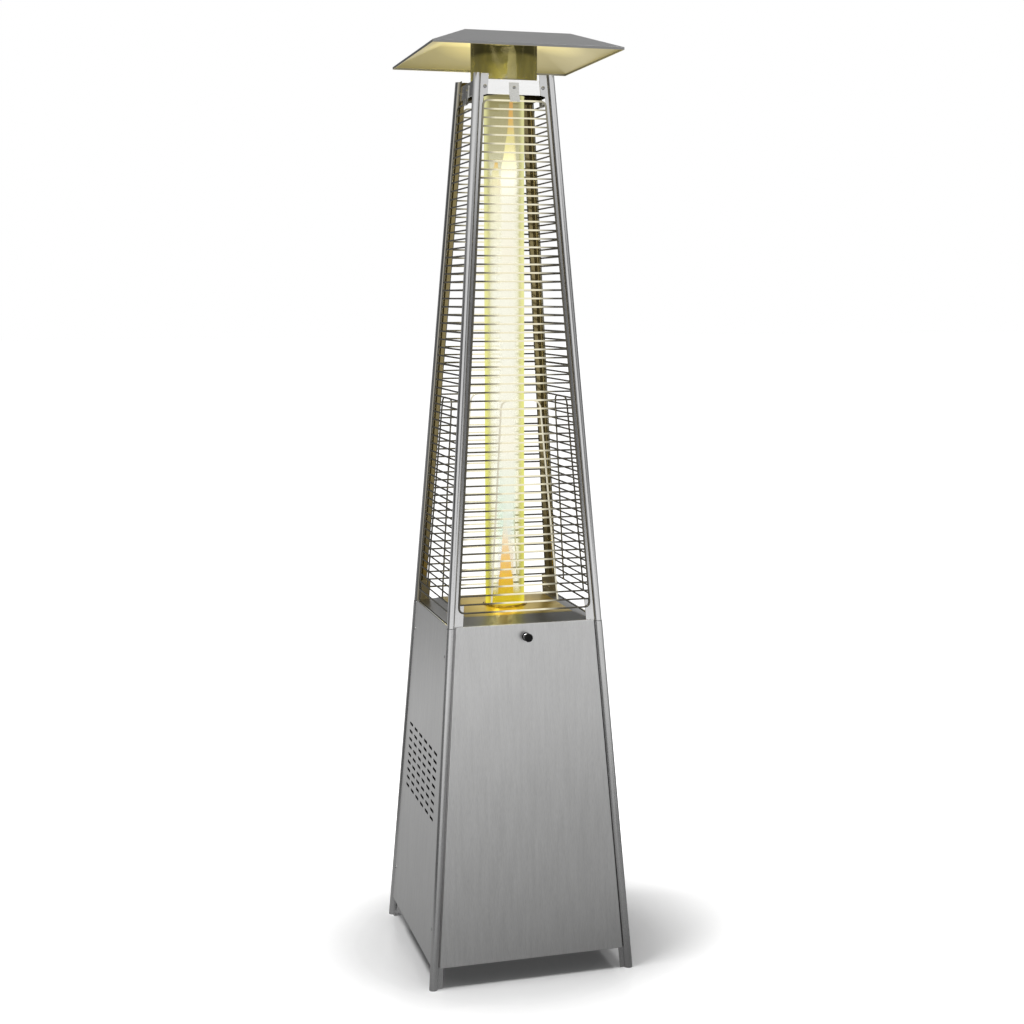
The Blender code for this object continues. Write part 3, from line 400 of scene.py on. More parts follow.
def glass_material():
    """A glass tube with a painted glow for the flame's light in it: its wall glows yellow where it is
    seen edge on, most at its foot.
    """
    made, tree, output = new_material("tube_glass_painted_glow")
    place = add(tree, "TexCoord").outputs["Object"]
    level = level_of(tree, place, GLASS_BOTTOM, GLASS_TOP)
    rim = ramp(tree, level, (
        (0.0, (0.9, 0.76, 0.05)),
        (0.05, (0.66, 0.62, 0.1)),
        (0.13, (0.72, 0.7, 0.14)),
        (0.3, (0.84, 0.83, 0.22)),
        (0.7, (0.88, 0.86, 0.38)),
        (0.97, (0.72, 0.7, 0.34)),
    ))
    wall = ramp(tree, level, (
        (0.0, (0.82, 0.62, 0.02)),
        (0.04, (0.34, 0.29, 0.05)),
        (0.13, (0.48, 0.44, 0.1)),
        (0.3, (0.66, 0.62, 0.2)),
        (0.7, (0.7, 0.66, 0.26)),
        (0.9, (0.42, 0.38, 0.18)),
        (1.0, (0.3, 0.27, 0.13)),
    ))
    facing = add(tree, "LayerWeight", Blend=0.5).outputs["Facing"]
    colour = blend_colour(tree, ramp(tree, facing, ((0.3, 0.0), (0.62, 1.0))), wall, rim)
    haze = noise(tree, place, 34.0, 3.0, (1.0, 1.0, 0.05))
    share = ramp(
        tree, facing, ((0.0, 0.01), (0.12, 0.02), (0.26, 0.1), (0.4, 0.34), (0.6, 0.6), (1.0, 0.78))
    )
    share = calc(tree, "MULTIPLY", share, calc(tree, "ADD", calc(tree, "MULTIPLY", haze, 0.9), 0.55))
    ends = ramp(
        tree,
        level,
        ((0.0, 0.7), (0.012, 0.5), (0.035, 0.1), (0.07, 0.0), (0.84, 0.0), (0.91, 0.4), (1.0, 0.5)),
    )
    share = calc(tree, "MAXIMUM", share, ends, clamp=True)
    clear = add(tree, "BsdfTransparent", Color=(0.99, 0.99, 0.95, 1.0))
    gloss = add(tree, "BsdfGlossy", Color=(1.0, 1.0, 1.0, 1.0), Roughness=0.03)
    sheen = calc(tree, "MULTIPLY", add(tree, "Fresnel", IOR=1.25).outputs[0], 0.5)
    skin = add(tree, "MixShader", Fac=sheen)
    tree.links.new(clear.outputs[0], skin.inputs[1])
    tree.links.new(gloss.outputs[0], skin.inputs[2])
    # Painted glow standing in for the flame's light caught in the glass.
    glow = add(tree, "Emission", Color=colour, Strength=1.0)
    mixed = add(tree, "MixShader", Fac=share)
    tree.links.new(skin.outputs[0], mixed.inputs[1])
    tree.links.new(glow.outputs[0], mixed.inputs[2])
    tree.links.new(mixed.outputs[0], output.inputs[0])
    return made


def flame_material(
    name, low, high, middle, sides, shares, shift=0.0, wide=0.022, strength=None, density=None
):
    """Glowing gas: one colour by height near its own axis and one round it, mixed in upright
    streaks. shares are its density near the axis and round it, and density scales them by height."""
    made, tree, output = new_material(name)
    place = add(tree, "TexCoord").outputs["Object"]
    level = level_of(tree, place, low, high)
    curl = noise(tree, place, 22.0, 2.0, (1.0, 1.0, 0.2))
    shifted = calc(tree, "ADD", level, calc(tree, "MULTIPLY", calc(tree, "SUBTRACT", curl, 0.5), 0.05))
    centred = add(tree, "VectorMath", {"operation": "SUBTRACT"})
    feed(tree, centred.inputs[0], place)
    centred.inputs[1].default_value = FLAME_RIGHT * shift
    streak = noise(tree, place, 95.0, 2.0, (1.0, 1.0, 0.035))
    out = calc(tree, "DIVIDE", radius_of(tree, centred.outputs[0]), wide)
    out = calc(tree, "ADD", out, calc(tree, "MULTIPLY", calc(tree, "SUBTRACT", streak, 0.5), 0.7))
    edge = ramp(tree, out, ((0.5, 0.0), (0.85, 1.0)))
    colour = blend_colour(tree, edge, ramp(tree, shifted, middle), ramp(tree, shifted, sides))
    share = ramp(tree, out, ((0.5, shares[0]), (0.9, shares[1])))
    if density:
        share = calc(tree, "MULTIPLY", share, ramp(tree, level, density))
    glow = add(tree, "Emission", Color=colour, Strength=1.0)
    if strength:
        feed(tree, glow.inputs["Strength"], ramp(tree, level, strength))
    clear = add(tree, "BsdfTransparent")
    mixed = add(tree, "MixShader", Fac=share)
    tree.links.new(clear.outputs[0], mixed.inputs[1])
    tree.links.new(glow.outputs[0], mixed.inputs[2])
    tree.links.new(mixed.outputs[0], output.inputs[0])
    return made


def screen_material():
    """Fine perforated sheet, browned by heat, with painted shade above the reflector's rim and a weak
    painted glow from the flame below it.
    """
    made, tree, output = new_material("screen_sheet")
    place = add(tree, "TexCoord").outputs["Object"]
    split = add(tree, "SeparateXYZ", Vector=place)
    turn = calc(tree, "ARCTAN2", split.outputs[1], split.outputs[0])
    across = calc(tree, "SINE", calc(tree, "MULTIPLY", turn, 168.0))
    up = calc(tree, "SINE", calc(tree, "MULTIPLY", split.outputs[2], 2090.0))
    hole = calc(tree, "GREATER_THAN", calc(tree, "MULTIPLY", across, up), 0.25)
    stain = noise(tree, place, 24.0, 4.0, (1.0, 1.0, 0.3))
    colour = ramp(
        tree, stain, ((0.3, (0.1, 0.095, 0.035)), (0.55, (0.2, 0.19, 0.07)), (0.75, (0.3, 0.28, 0.12)))
    )
    level = level_of(tree, place, DECK_TOP, SCREEN_TOP)
    # Painted shade: the sheet turns dark above the height of the reflector's rim.
    painted_shade_above_rim = ramp(tree, level, ((0.56, 0.0), (0.64, 1.0)))
    colour = blend_colour(tree, painted_shade_above_rim, colour, (0.03, 0.03, 0.013))
    relief = add(tree, "Bump", Strength=0.3, Distance=0.0005, Height=hole)
    shader = add(tree, "BsdfPrincipled", Base_Color=colour, Metallic=0.5, Roughness=0.5)
    # Painted glow from the flame, fading upwards.
    shader.inputs["Emission Color"].default_value = (1.0, 0.86, 0.28, 1.0)
    warm = ramp(tree, level, ((0.0, 0.1), (0.5, 0.05), (0.64, 0.012)))
    feed(tree, shader.inputs["Emission Strength"], warm)
    tree.links.new(relief.outputs[0], shader.inputs["Normal"])
    clear = add(tree, "BsdfTransparent")
    mixed = add(tree, "MixShader", Fac=hole)
    tree.links.new(shader.outputs[0], mixed.inputs[1])
    tree.links.new(clear.outputs[0], mixed.inputs[2])
    tree.links.new(mixed.outputs[0], output.inputs[0])
    return made


# Mesh helpers
def piece(name, shape, material, body="frame", place=None, smooth=35):
    mesh = bpy.data.meshes.new(name)
    bmesh.ops.recalc_face_normals(shape, faces=shape.faces)
    shape.to_mesh(mesh)
    shape.free()
    mesh.materials.append(material)
    mesh.shade_smooth()
    mesh.set_sharp_from_angle(angle=math.radians(smooth))
    obj = bpy.data.objects.new(name, mesh)
    bpy.context.scene.collection.objects.link(obj)
    if place is not None:
        mesh.transform(place)
    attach(obj, body)
    return obj


def skin(shape, rings, closed=False, caps=False):
    loops = [[shape.verts.new(point) for point in ring] for ring in rings]
    pairs = list(zip(loops, loops[1:]))
    if closed:
        pairs.append((loops[-1], loops[0]))
    for low, high in pairs:
        for n in range(len(low)):
            m = (n + 1) % len(low)
            shape.faces.new((low[n], low[m], high[m], high[n]))
    if caps:
        shape.faces.new(loops[0][::-1])
        shape.faces.new(loops[-1])
    return loops


def circle(radius, z, count, x=0.0, y=0.0):
    turns = [2 * math.pi * n / count for n in range(count)]
    return [Vector((x + radius * math.cos(a), y + radius * math.sin(a), z)) for a in turns]


def lathe(profile, count=48):
    """Turns (radius, height) points round Z. Ends on the axis are capped, and others join up."""
    shape = bmesh.new()
    rings = [circle(radius, z, count) for radius, z in profile if radius > 0]
    open_ends = profile[0][0] > 0 and profile[-1][0] > 0
    skin(shape, rings, closed=open_ends, caps=not open_ends)
    return shape


def sweep(shape, path, radius, sides=8, closed=False):
    """A round bar along a path."""
    rings = []
    count = len(path)
    across = None
    for n, point in enumerate(path):
        if closed:
            ahead = (path[(n + 1) % count] - path[n - 1]).normalized()
        else:
            ahead = (path[min(n + 1, count - 1)] - path[max(n - 1, 0)]).normalized()
        if across is None:
            across = ahead.orthogonal().normalized()
        across = (across - across.project(ahead)).normalized()
        other = ahead.cross(across)
        turns = [2 * math.pi * (k + 0.5) / sides for k in range(sides)]
        rings.append([point + radius * (math.cos(a) * across + math.sin(a) * other) for a in turns])
    skin(shape, rings, closed=closed, caps=not closed)


def rounded(corners, radius, steps=5, closed=True):
    """A path through corners, each cut by an arc."""
    path = []
    count = len(corners)
    for n, corner in enumerate(corners):
        if not closed and n in (0, count - 1):
            path.append(corner)
            continue
        back = (corners[n - 1] - corner).normalized()
        on = (corners[(n + 1) % count] - corner).normalized()
        bend = back.angle(on)
        reach = radius / math.tan(bend / 2)
        start, end = corner + back * reach, corner + on * reach
        for step in range(steps + 1):
            t = step / steps
            path.append(start.lerp(corner, t).lerp(corner.lerp(end, t), t))
    return path


def dress(name, material, width=0.0003):
    """Gives a CAD node its finish, with its edges eased and its round parts smooth."""
    obj = nodes[name]
    mesh = obj.data
    mesh.materials.clear()
    mesh.materials.append(material)
    if "custom_normal" in mesh.attributes:
        mesh.attributes.remove(mesh.attributes["custom_normal"])
    mesh.shade_smooth()
    weld = obj.modifiers.new("weld", "WELD")
    weld.merge_threshold = 0.00001
    if width:
        bevel = obj.modifiers.new("eased", "BEVEL")
        bevel.width = width
        bevel.segments = 2
        bevel.limit_method = "ANGLE"
        bevel.angle_limit = math.radians(35)
        bevel.harden_normals = True


# Camera, fitted to the photograph's view
FOCAL_PIXELS = 1577.8
FRAME_PIXELS = 1024.0
SENSOR = 36.0
CAMERA_AT = Vector((-1.037, -3.783, 1.6552))
CAMERA_YAW = 0.2722
CAMERA_PITCH = -0.1353
CAMERA_ROLL = -0.0014


def make_camera():
    data = bpy.data.cameras.new("camera")
    data.sensor_width = SENSOR
    data.lens = FOCAL_PIXELS / FRAME_PIXELS * SENSOR
    data.clip_start = 0.05
    data.clip_end = 100.0
    camera = bpy.data.objects.new("camera", data)
    bpy.context.scene.collection.objects.link(camera)
    turn = Matrix.Rotation(-CAMERA_YAW, 4, "Z") @ Matrix.Rotation(math.pi / 2 + CAMERA_PITCH, 4, "X")
    camera.matrix_world = Matrix.Translation(CAMERA_AT) @ turn @ Matrix.Rotation(CAMERA_ROLL, 4, "Z")
    bpy.context.scene.camera = camera


# Studio
FRONT_BEARING = math.radians(-15.33)
# Brightness round about, by degrees to the right of the front bearing
FLAGS = (
    (-180, 0.5),
    (-174, 0.4),
    (-168, 0.1),
    (-132, 0.1),
    (-126, 0.6),
    (-112, 0.6),
    (-104, 0.12),
    (-42, 0.12),
    (-32, 1.0),
    (17, 1.0),
    (23, 0.2),
    (44, 0.2),
    (52, 0.5),
    (84, 0.45),
    (95, 0.2),
    (135, 0.15),
    (160, 0.3),
    (180, 0.5),
)
NEAR_FLAGS = (
    (-180, 1.0),
    (-112, 1.0),
    (-104, 0.25),
    (-42, 0.25),
    (-32, 1.0),
    (60, 1.0),
    (95, 0.5),
    (170, 0.5),
    (180, 1.0),
)
FAR_FLAGS = (
    (-180, 0.9),
    (-166, 0.3),
    (-134, 0.3),
    (-112, 0.9),
    (-104, 0.25),
    (-42, 0.25),
    (-32, 1.0),
    (60, 1.0),
    (95, 0.4),
    (180, 0.5),
)
HIGH_FLAGS = (
    (-180, 0.85),
    (-168, 0.3),
    (-128, 0.3),
    (-100, 0.4),
    (-70, 0.6),
    (-40, 1.0),
    (80, 1.0),
    (110, 0.3),
    (150, 0.6),
    (180, 0.85),
)
# Brightness by the sine of the elevation, for reflections and for light
SKY = ((0.0, 1.0), (0.38, 1.0), (0.5, 0.55), (0.57, 0.43), (0.8, 0.3), (1.0, 0.4))
SKY_LIGHT = ((0.0, 0.01), (0.3, 0.03), (0.7, 0.12), (1.0, 0.25))
# Brightness of the floor by the distance in metres: as metal sees it from two spots, the first a painted
# shade round the heater's foot, and its lift, which whitens the floor away from the heater and stays low
# close by, a painted shade there
DARK_SPOT = (0.3, -0.35, 0.0)
SIDE_SPOT = (1.35, -2.3, 0.0)
SIDE_SEEN = ((0.0, 0.12), (0.5, 0.3), (1.3, 1.0), (14.0, 1.0))
FLOOR_REACH = 14.0
FLOOR_SEEN_PAINTED_SHADE = (
    (0.0, 0.16),
    (0.25, 0.21),
    (1.0, 0.37),
    (2.5, 0.47),
    (4.5, 0.86),
    (7.0, 1.08),
    (14.0, 1.08),
)
FLOOR_LIFT_WITH_PAINTED_SHADE = (
    (0.0, 0.05),
    (0.3, 0.05),
    (0.36, 0.1),
    (0.45, 0.32),
    (0.62, 0.7),
    (1.0, 0.98),
    (14.0, 1.0),
)


def flagged(tree, vector, flags):
    """Brightness round about, by the bearing of a vector."""
    split = add(tree, "SeparateXYZ", Vector=vector)
    bearing = calc(tree, "ARCTAN2", split.outputs[0], calc(tree, "MULTIPLY", split.outputs[1], -1.0))
    wrapped = calc(tree, "WRAP", calc(tree, "SUBTRACT", bearing, FRONT_BEARING), math.pi, -math.pi)
    turned = calc(tree, "ADD", calc(tree, "DIVIDE", wrapped, 2 * math.pi), 0.5)
    return ramp(tree, turned, [((degrees + 180) / 360, level) for degrees, level in flags])


def make_world():
    """White to the camera. Metal sees it bright in front and behind, with dark flags beside."""
    world = bpy.data.worlds.new("studio")
    world.use_nodes = True
    bpy.context.scene.world = world
    tree = world.node_tree
    tree.nodes.clear()
    direction = add(tree, "TexCoord").outputs["Generated"]
    height = add(tree, "SeparateXYZ", Vector=direction).outputs[2]
    raised = ramp(tree, height, ((0.17, 0.0), (0.24, 1.0)))
    low, high = (flagged(tree, direction, flags) for flags in (FLAGS, HIGH_FLAGS))
    round_about = blend_colour(tree, raised, low, high)
    seen = calc(tree, "MULTIPLY", round_about, ramp(tree, height, SKY))
    lit = ramp(tree, height, SKY_LIGHT)
    path = add(tree, "LightPath")
    clear = calc(tree, "MAXIMUM", path.outputs["Is Camera Ray"], path.outputs["Is Transmission Ray"])
    level = blend_colour(tree, path.outputs["Is Glossy Ray"], lit, seen)
    level = blend_colour(tree, clear, level, (1.0, 1.0, 1.0))
    background = add(tree, "Background", Color=level, Strength=1.0)
    output = tree.nodes.new("ShaderNodeOutputWorld")
    tree.links.new(background.outputs[0], output.inputs[0])


def make_floor():
    """A pale, slightly glossy floor that keeps the shadow. Metal sees it greyer close by, a painted shade
    in its reflections, and its lift stays low close by, a painted shade round the heater's foot.
    """
    shape = bmesh.new()
    bmesh.ops.create_grid(shape, x_segments=1, y_segments=1, size=60.0)
    mesh = bpy.data.meshes.new("floor")
    shape.to_mesh(mesh)
    shape.free()
    obj = bpy.data.objects.new("floor", mesh)
    bpy.context.scene.collection.objects.link(obj)
    made, tree, output = new_material("floor_pale")
    mesh.materials.append(made)
    place = add(tree, "TexCoord").outputs["Object"]

    def by_distance(centre, levels):
        distance = add(tree, "VectorMath", {"operation": "DISTANCE"})
        feed(tree, distance.inputs[0], place)
        distance.inputs[1].default_value = centre
        share = calc(tree, "DIVIDE", distance.outputs["Value"], FLOOR_REACH, clamp=True)
        return ramp(tree, share, [(metres / FLOOR_REACH, level) for metres, level in levels])

    middle = (0.0, 0.0, 0.0)
    far_off = by_distance(middle, ((2.5, 0.0), (5.0, 1.0)))
    near, far = (flagged(tree, place, flags) for flags in (NEAR_FLAGS, FAR_FLAGS))
    flags = blend_colour(tree, far_off, near, far)
    clear_of_foot = by_distance(middle, ((0.8, 0.0), (1.5, 1.0)))
    flags = blend_colour(tree, clear_of_foot, (1.0, 1.0, 1.0), flags)
    flags = calc(tree, "MULTIPLY", flags, by_distance(SIDE_SPOT, SIDE_SEEN))
    # Painted shade: metal sees the floor darker close to the heater.
    seen = calc(tree, "MULTIPLY", by_distance(DARK_SPOT, FLOOR_SEEN_PAINTED_SHADE), flags)
    # Painted shade: the camera's lift stays low close to the heater, so the floor darkens there.
    lift = by_distance(middle, FLOOR_LIFT_WITH_PAINTED_SHADE)
    path = add(tree, "LightPath")
    matt = add(tree, "BsdfDiffuse", Color=(0.9, 0.9, 0.9, 1.0))
    sheen = add(tree, "BsdfGlossy", Color=(1.0, 1.0, 1.0, 1.0), Roughness=0.12)
    surface = add(tree, "MixShader", Fac=0.1)
    tree.links.new(matt.outputs[0], surface.inputs[1])
    tree.links.new(sheen.outputs[0], surface.inputs[2])
    glow = add(tree, "Emission", Color=lift, Strength=path.outputs["Is Camera Ray"])
    both = add(tree, "AddShader")
    tree.links.new(surface.outputs[0], both.inputs[0])
    tree.links.new(glow.outputs[0], both.inputs[1])
    mirror = add(tree, "Emission", Color=seen, Strength=1.0)
    mixed = add(tree, "MixShader", Fac=path.outputs["Is Glossy Ray"])
    tree.links.new(both.outputs[0], mixed.inputs[1])
    tree.links.new(mirror.outputs[0], mixed.inputs[2])
    tree.links.new(mixed.outputs[0], output.inputs[0])


def lamp(name, kind, at, energy, size, colour=(1.0, 1.0, 1.0), aim=(0.0, 0.0, 0.9)):
    data = bpy.data.lights.new(name, kind)
    data.energy = energy
    data.color = colour
    if kind == "AREA":
        data.shape = "DISK"
        data.size = size
    else:
        data.shadow_soft_size = size
    obj = bpy.data.objects.new(name, data)
    bpy.context.scene.collection.objects.link(obj)
    obj.location = at
    obj.visible_camera = False
    if kind == "AREA":
        obj.rotation_euler = (Vector(aim) - Vector(at)).to_track_quat("-Z", "Y").to_euler()


def make_lamps():
    lamp("key", "AREA", (-1.5, -0.25, 4.7), 128.0, 1.4, aim=(0.0, 0.0, 0.3))
    lamp("fill", "AREA", (1.3, -0.4, 4.7), 37.0, 1.8, aim=(0.0, 0.0, 0.3))
    warm = (1.0, 0.86, 0.25)
    lamp("glow_top", "POINT", (0.0, 0.0, 2.205), 1.0, 0.03, warm)
    lamp("glow_foot", "POINT", (0.0, 0.0, 0.93), 0.25, 0.03, warm)
    for n in range(8):
        lamp(f"glow_{n}", "POINT", (0.0, 0.0, 1.02 + 0.15 * n), 0.3, 0.04, (1.0, 0.88, 0.45))


# Panels
FOLD = 0.0016


def outline(side, low, high, inset, out, edge=PANEL_EDGE):
    """The four corners of a panel, inset on its face and raised off the posts' plane."""
    corners = []
    for sign, z, lift in ((-1, low, inset), (1, low, inset), (1, high, -inset), (-1, high, -inset)):
        height = z + lift * math.cos(LEAN)
        corners.append(on_face(side, sign * (half(height) - edge - inset), height, out))
    return corners


def slot_loop(side, x, z, long, high, out):
    """A slot with round ends."""
    radius = high / 2
    points = []
    for sign, start in ((1, -90), (-1, 90)):
        for n in range(7):
            a = math.radians(start + 30 * n)
            dx = sign * (long / 2 - radius) + radius * math.cos(a)
            dz = radius * math.sin(a)
            points.append(on_face(side, x + dx, z + dz * math.cos(LEAN), out))
    return points


def pan(name, side, slots=(), body="frame", replaced=None):
    """A pressed panel: a sheet with its edges rolled back, and slots cut through."""
    shape = bmesh.new()
    out = PANEL_OUT
    rings = [outline(side, PANEL_BOTTOM, PANEL_TOP, 0.0, out - PANEL_DEEP)]
    for n in range(5):
        a = math.radians(90 * n / 4)
        inset, drop = FOLD * (1 - math.cos(a)), FOLD * (1 - math.sin(a))
        rings.append(outline(side, PANEL_BOTTOM, PANEL_TOP, inset, out - drop))
    loops = skin(shape, rings)
    edges = [shape.edges.get((a, b)) for a, b in zip(loops[-1], loops[-1][1:] + loops[-1][:1])]
    for x, z, long, high in slots:
        ring = [shape.verts.new(point) for point in slot_loop(side, x, z, long, high, out)]
        edges += [shape.edges.new((a, b)) for a, b in zip(ring, ring[1:] + ring[:1])]
    bmesh.ops.triangle_fill(shape, use_beauty=True, use_dissolve=False, edges=edges)
    outward = on_face(side, 0.0, 0.5, 1.0) - on_face(side, 0.0, 0.5, 0.0)
    obj = piece(name, shape, PANEL, body, smooth=25)
    mesh = obj.data
    flat = max(mesh.polygons, key=lambda p: p.area)
    if flat.normal.dot(outward) < 0:
        mesh.flip_normals()
    for polygon in mesh.polygons:
        polygon.use_smooth = polygon.normal.dot(outward) < 0.9999
    solid = obj.modifiers.new("sheet", "SOLIDIFY")
    solid.thickness = PANEL_SHEET
    solid.offset = -1.0
    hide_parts(replaced or name)


VENT_APART = 0.0558
VENT_DOWN = 0.0203
VENT_TOP = 0.5530
VENTS = [
    ((column - 2.5) * VENT_APART, VENT_TOP - row * VENT_DOWN, 0.0360, 0.0072)
    for row in range(9)
    for column in range(6)
]


def rolled_edge():
    """The door's lower edge, rolled round the hinge rod."""
    shape = bmesh.new()
    steps = 24
    reach = half(HINGE_Z) - PANEL_EDGE - 0.0003
    gap, end = EAR_GAP
    for low, high in ((-reach, -end), (-gap, gap), (end, reach)):
        curl = []
        for radius in (ROLL_RADIUS, ROLL_RADIUS - PANEL_SHEET):
            arc = []
            for n in range(steps + 1):
                a = math.radians(270) * n / steps
                arc.append((-radius * math.sin(a), PANEL_OUT - ROLL_RADIUS + radius * math.cos(a)))
            curl += arc if not curl else arc[::-1]
        rings = [
            [on_face("front", x, HINGE_Z + up * math.cos(LEAN), out) for up, out in curl]
            for x in (low, high)
        ]
        skin(shape, rings, caps=True)
    piece("door_rolled_edge", shape, PANEL, "door")


def make_panels():
    pan("side_panel_left_sheet", "left", VENTS, replaced="side_panel_left")
    pan("side_panel_right_sheet", "right", VENTS, replaced="side_panel_right")
    pan("back_panel_sheet", "back", replaced="back_panel")
    pan("front_door_sheet", "front", body="door", replaced="front_door")
    rolled_edge()


# Guards
def wire_z(number):
    return GUARD_TOP - number * (GUARD_TOP - GUARD_BOTTOM) / GUARD_GAPS


def make_guard(side):
    """A welded wire guard: a frame with round corners, cross wires and a hoop behind. The flame
    lights the front and back guards."""
    lit = side in ("front", "back")
    shape = bmesh.new()
    rail = 0.0180
    corners = [
        on_face(side, -(half(GUARD_BOTTOM) - rail), GUARD_BOTTOM, GUARD_OUT),
        on_face(side, half(GUARD_BOTTOM) - rail, GUARD_BOTTOM, GUARD_OUT),
        on_face(side, half(GUARD_TOP) - rail, GUARD_TOP, GUARD_OUT),
        on_face(side, -(half(GUARD_TOP) - rail), GUARD_TOP, GUARD_OUT),
    ]
    sweep(shape, rounded(corners, RAIL_CORNER, 6), RAIL_RADIUS, 8, closed=True)
    for number in range(1, GUARD_GAPS):
        z = wire_z(number)
        thick = CROSSBAR_RADIUS if number == CROSSBAR else WIRE_RADIUS
        reach = half(z) - rail + WELD_LAP
        ends = [on_face(side, -reach, z, GUARD_OUT), on_face(side, reach, z, GUARD_OUT)]
        sweep(shape, ends, thick, 6)
    obj = piece(f"guard_{side}_wires", shape, WIRE if lit else WIRE_SIDE, "frame")
    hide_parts(f"guard_{side}")
    foot, head = wire_z(HOOP_FOOT), wire_z(HOOP_HEAD)
    behind = 0.0003
    inset = 0.0980
    points = [
        on_face(side, -(half(foot) - inset), foot, behind),
        on_face(side, -(half(head) - inset), head, behind),
        on_face(side, half(head) - inset, head, behind),
        on_face(side, half(foot) - inset, foot, behind),
    ]
    shape = bmesh.new()
    sweep(shape, rounded(points, HOOP_CORNER, 6, closed=False), WIRE_RADIUS, 8)
    piece(f"guard_{side}_hoop", shape, WIRE_HOOP if lit else WIRE_SIDE, "frame")


# Glass and flame
def make_glass():
    inner = GLASS_OUT - GLASS_WALL
    soft = 0.0008
    profile = [
        (inner, GLASS_BOTTOM + soft),
        (inner + soft, GLASS_BOTTOM),
        (GLASS_OUT - soft, GLASS_BOTTOM),
        (GLASS_OUT, GLASS_BOTTOM + soft),
        (GLASS_OUT, GLASS_TOP - soft),
        (GLASS_OUT - soft, GLASS_TOP),
        (inner + soft, GLASS_TOP),
        (inner, GLASS_TOP - soft),
    ]
    obj = piece("glass_tube_clear", lathe(profile, 72), glass_material(), "frame")
    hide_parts("glass_tube")


SHELLS = (1.0, 0.86, 0.72, 0.58, 0.44, 0.3)


def flame_body(name, table, material, sides=20, wobble=0.05, shells=SHELLS):
    """A flame of nested shells, lofted from rows of height, radius and shift sideways."""
    shape = bmesh.new()
    low_end, high_end = table[0][0], table[-1][0]
    steps = 48
    for share in shells:
        rings = []
        for n in range(steps + 1):
            z = low_end + (high_end - low_end) * n / steps
            k = max(i for i in range(len(table) - 1) if table[i][0] <= z + 1e-9)
            low, high = table[k], table[k + 1]
            t = (z - low[0]) / (high[0] - low[0])
            t = t * t * (3 - 2 * t)
            radius, shift = (low[i] + (high[i] - low[i]) * t for i in (1, 2))
            ring = []
            for s in range(sides):
                a = 2 * math.pi * s / sides
                waves = math.sin(3 * a + 9 * z) + math.sin(5 * a - 23 * z)
                r = share * radius * (1 + wobble * waves)
                ring.append(FLAME_RIGHT * shift + Vector((r * math.cos(a), r * math.sin(a), z)))
            rings.append(ring)
        skin(shape, rings, caps=True)
    piece(name, shape, material, "frame", smooth=80)


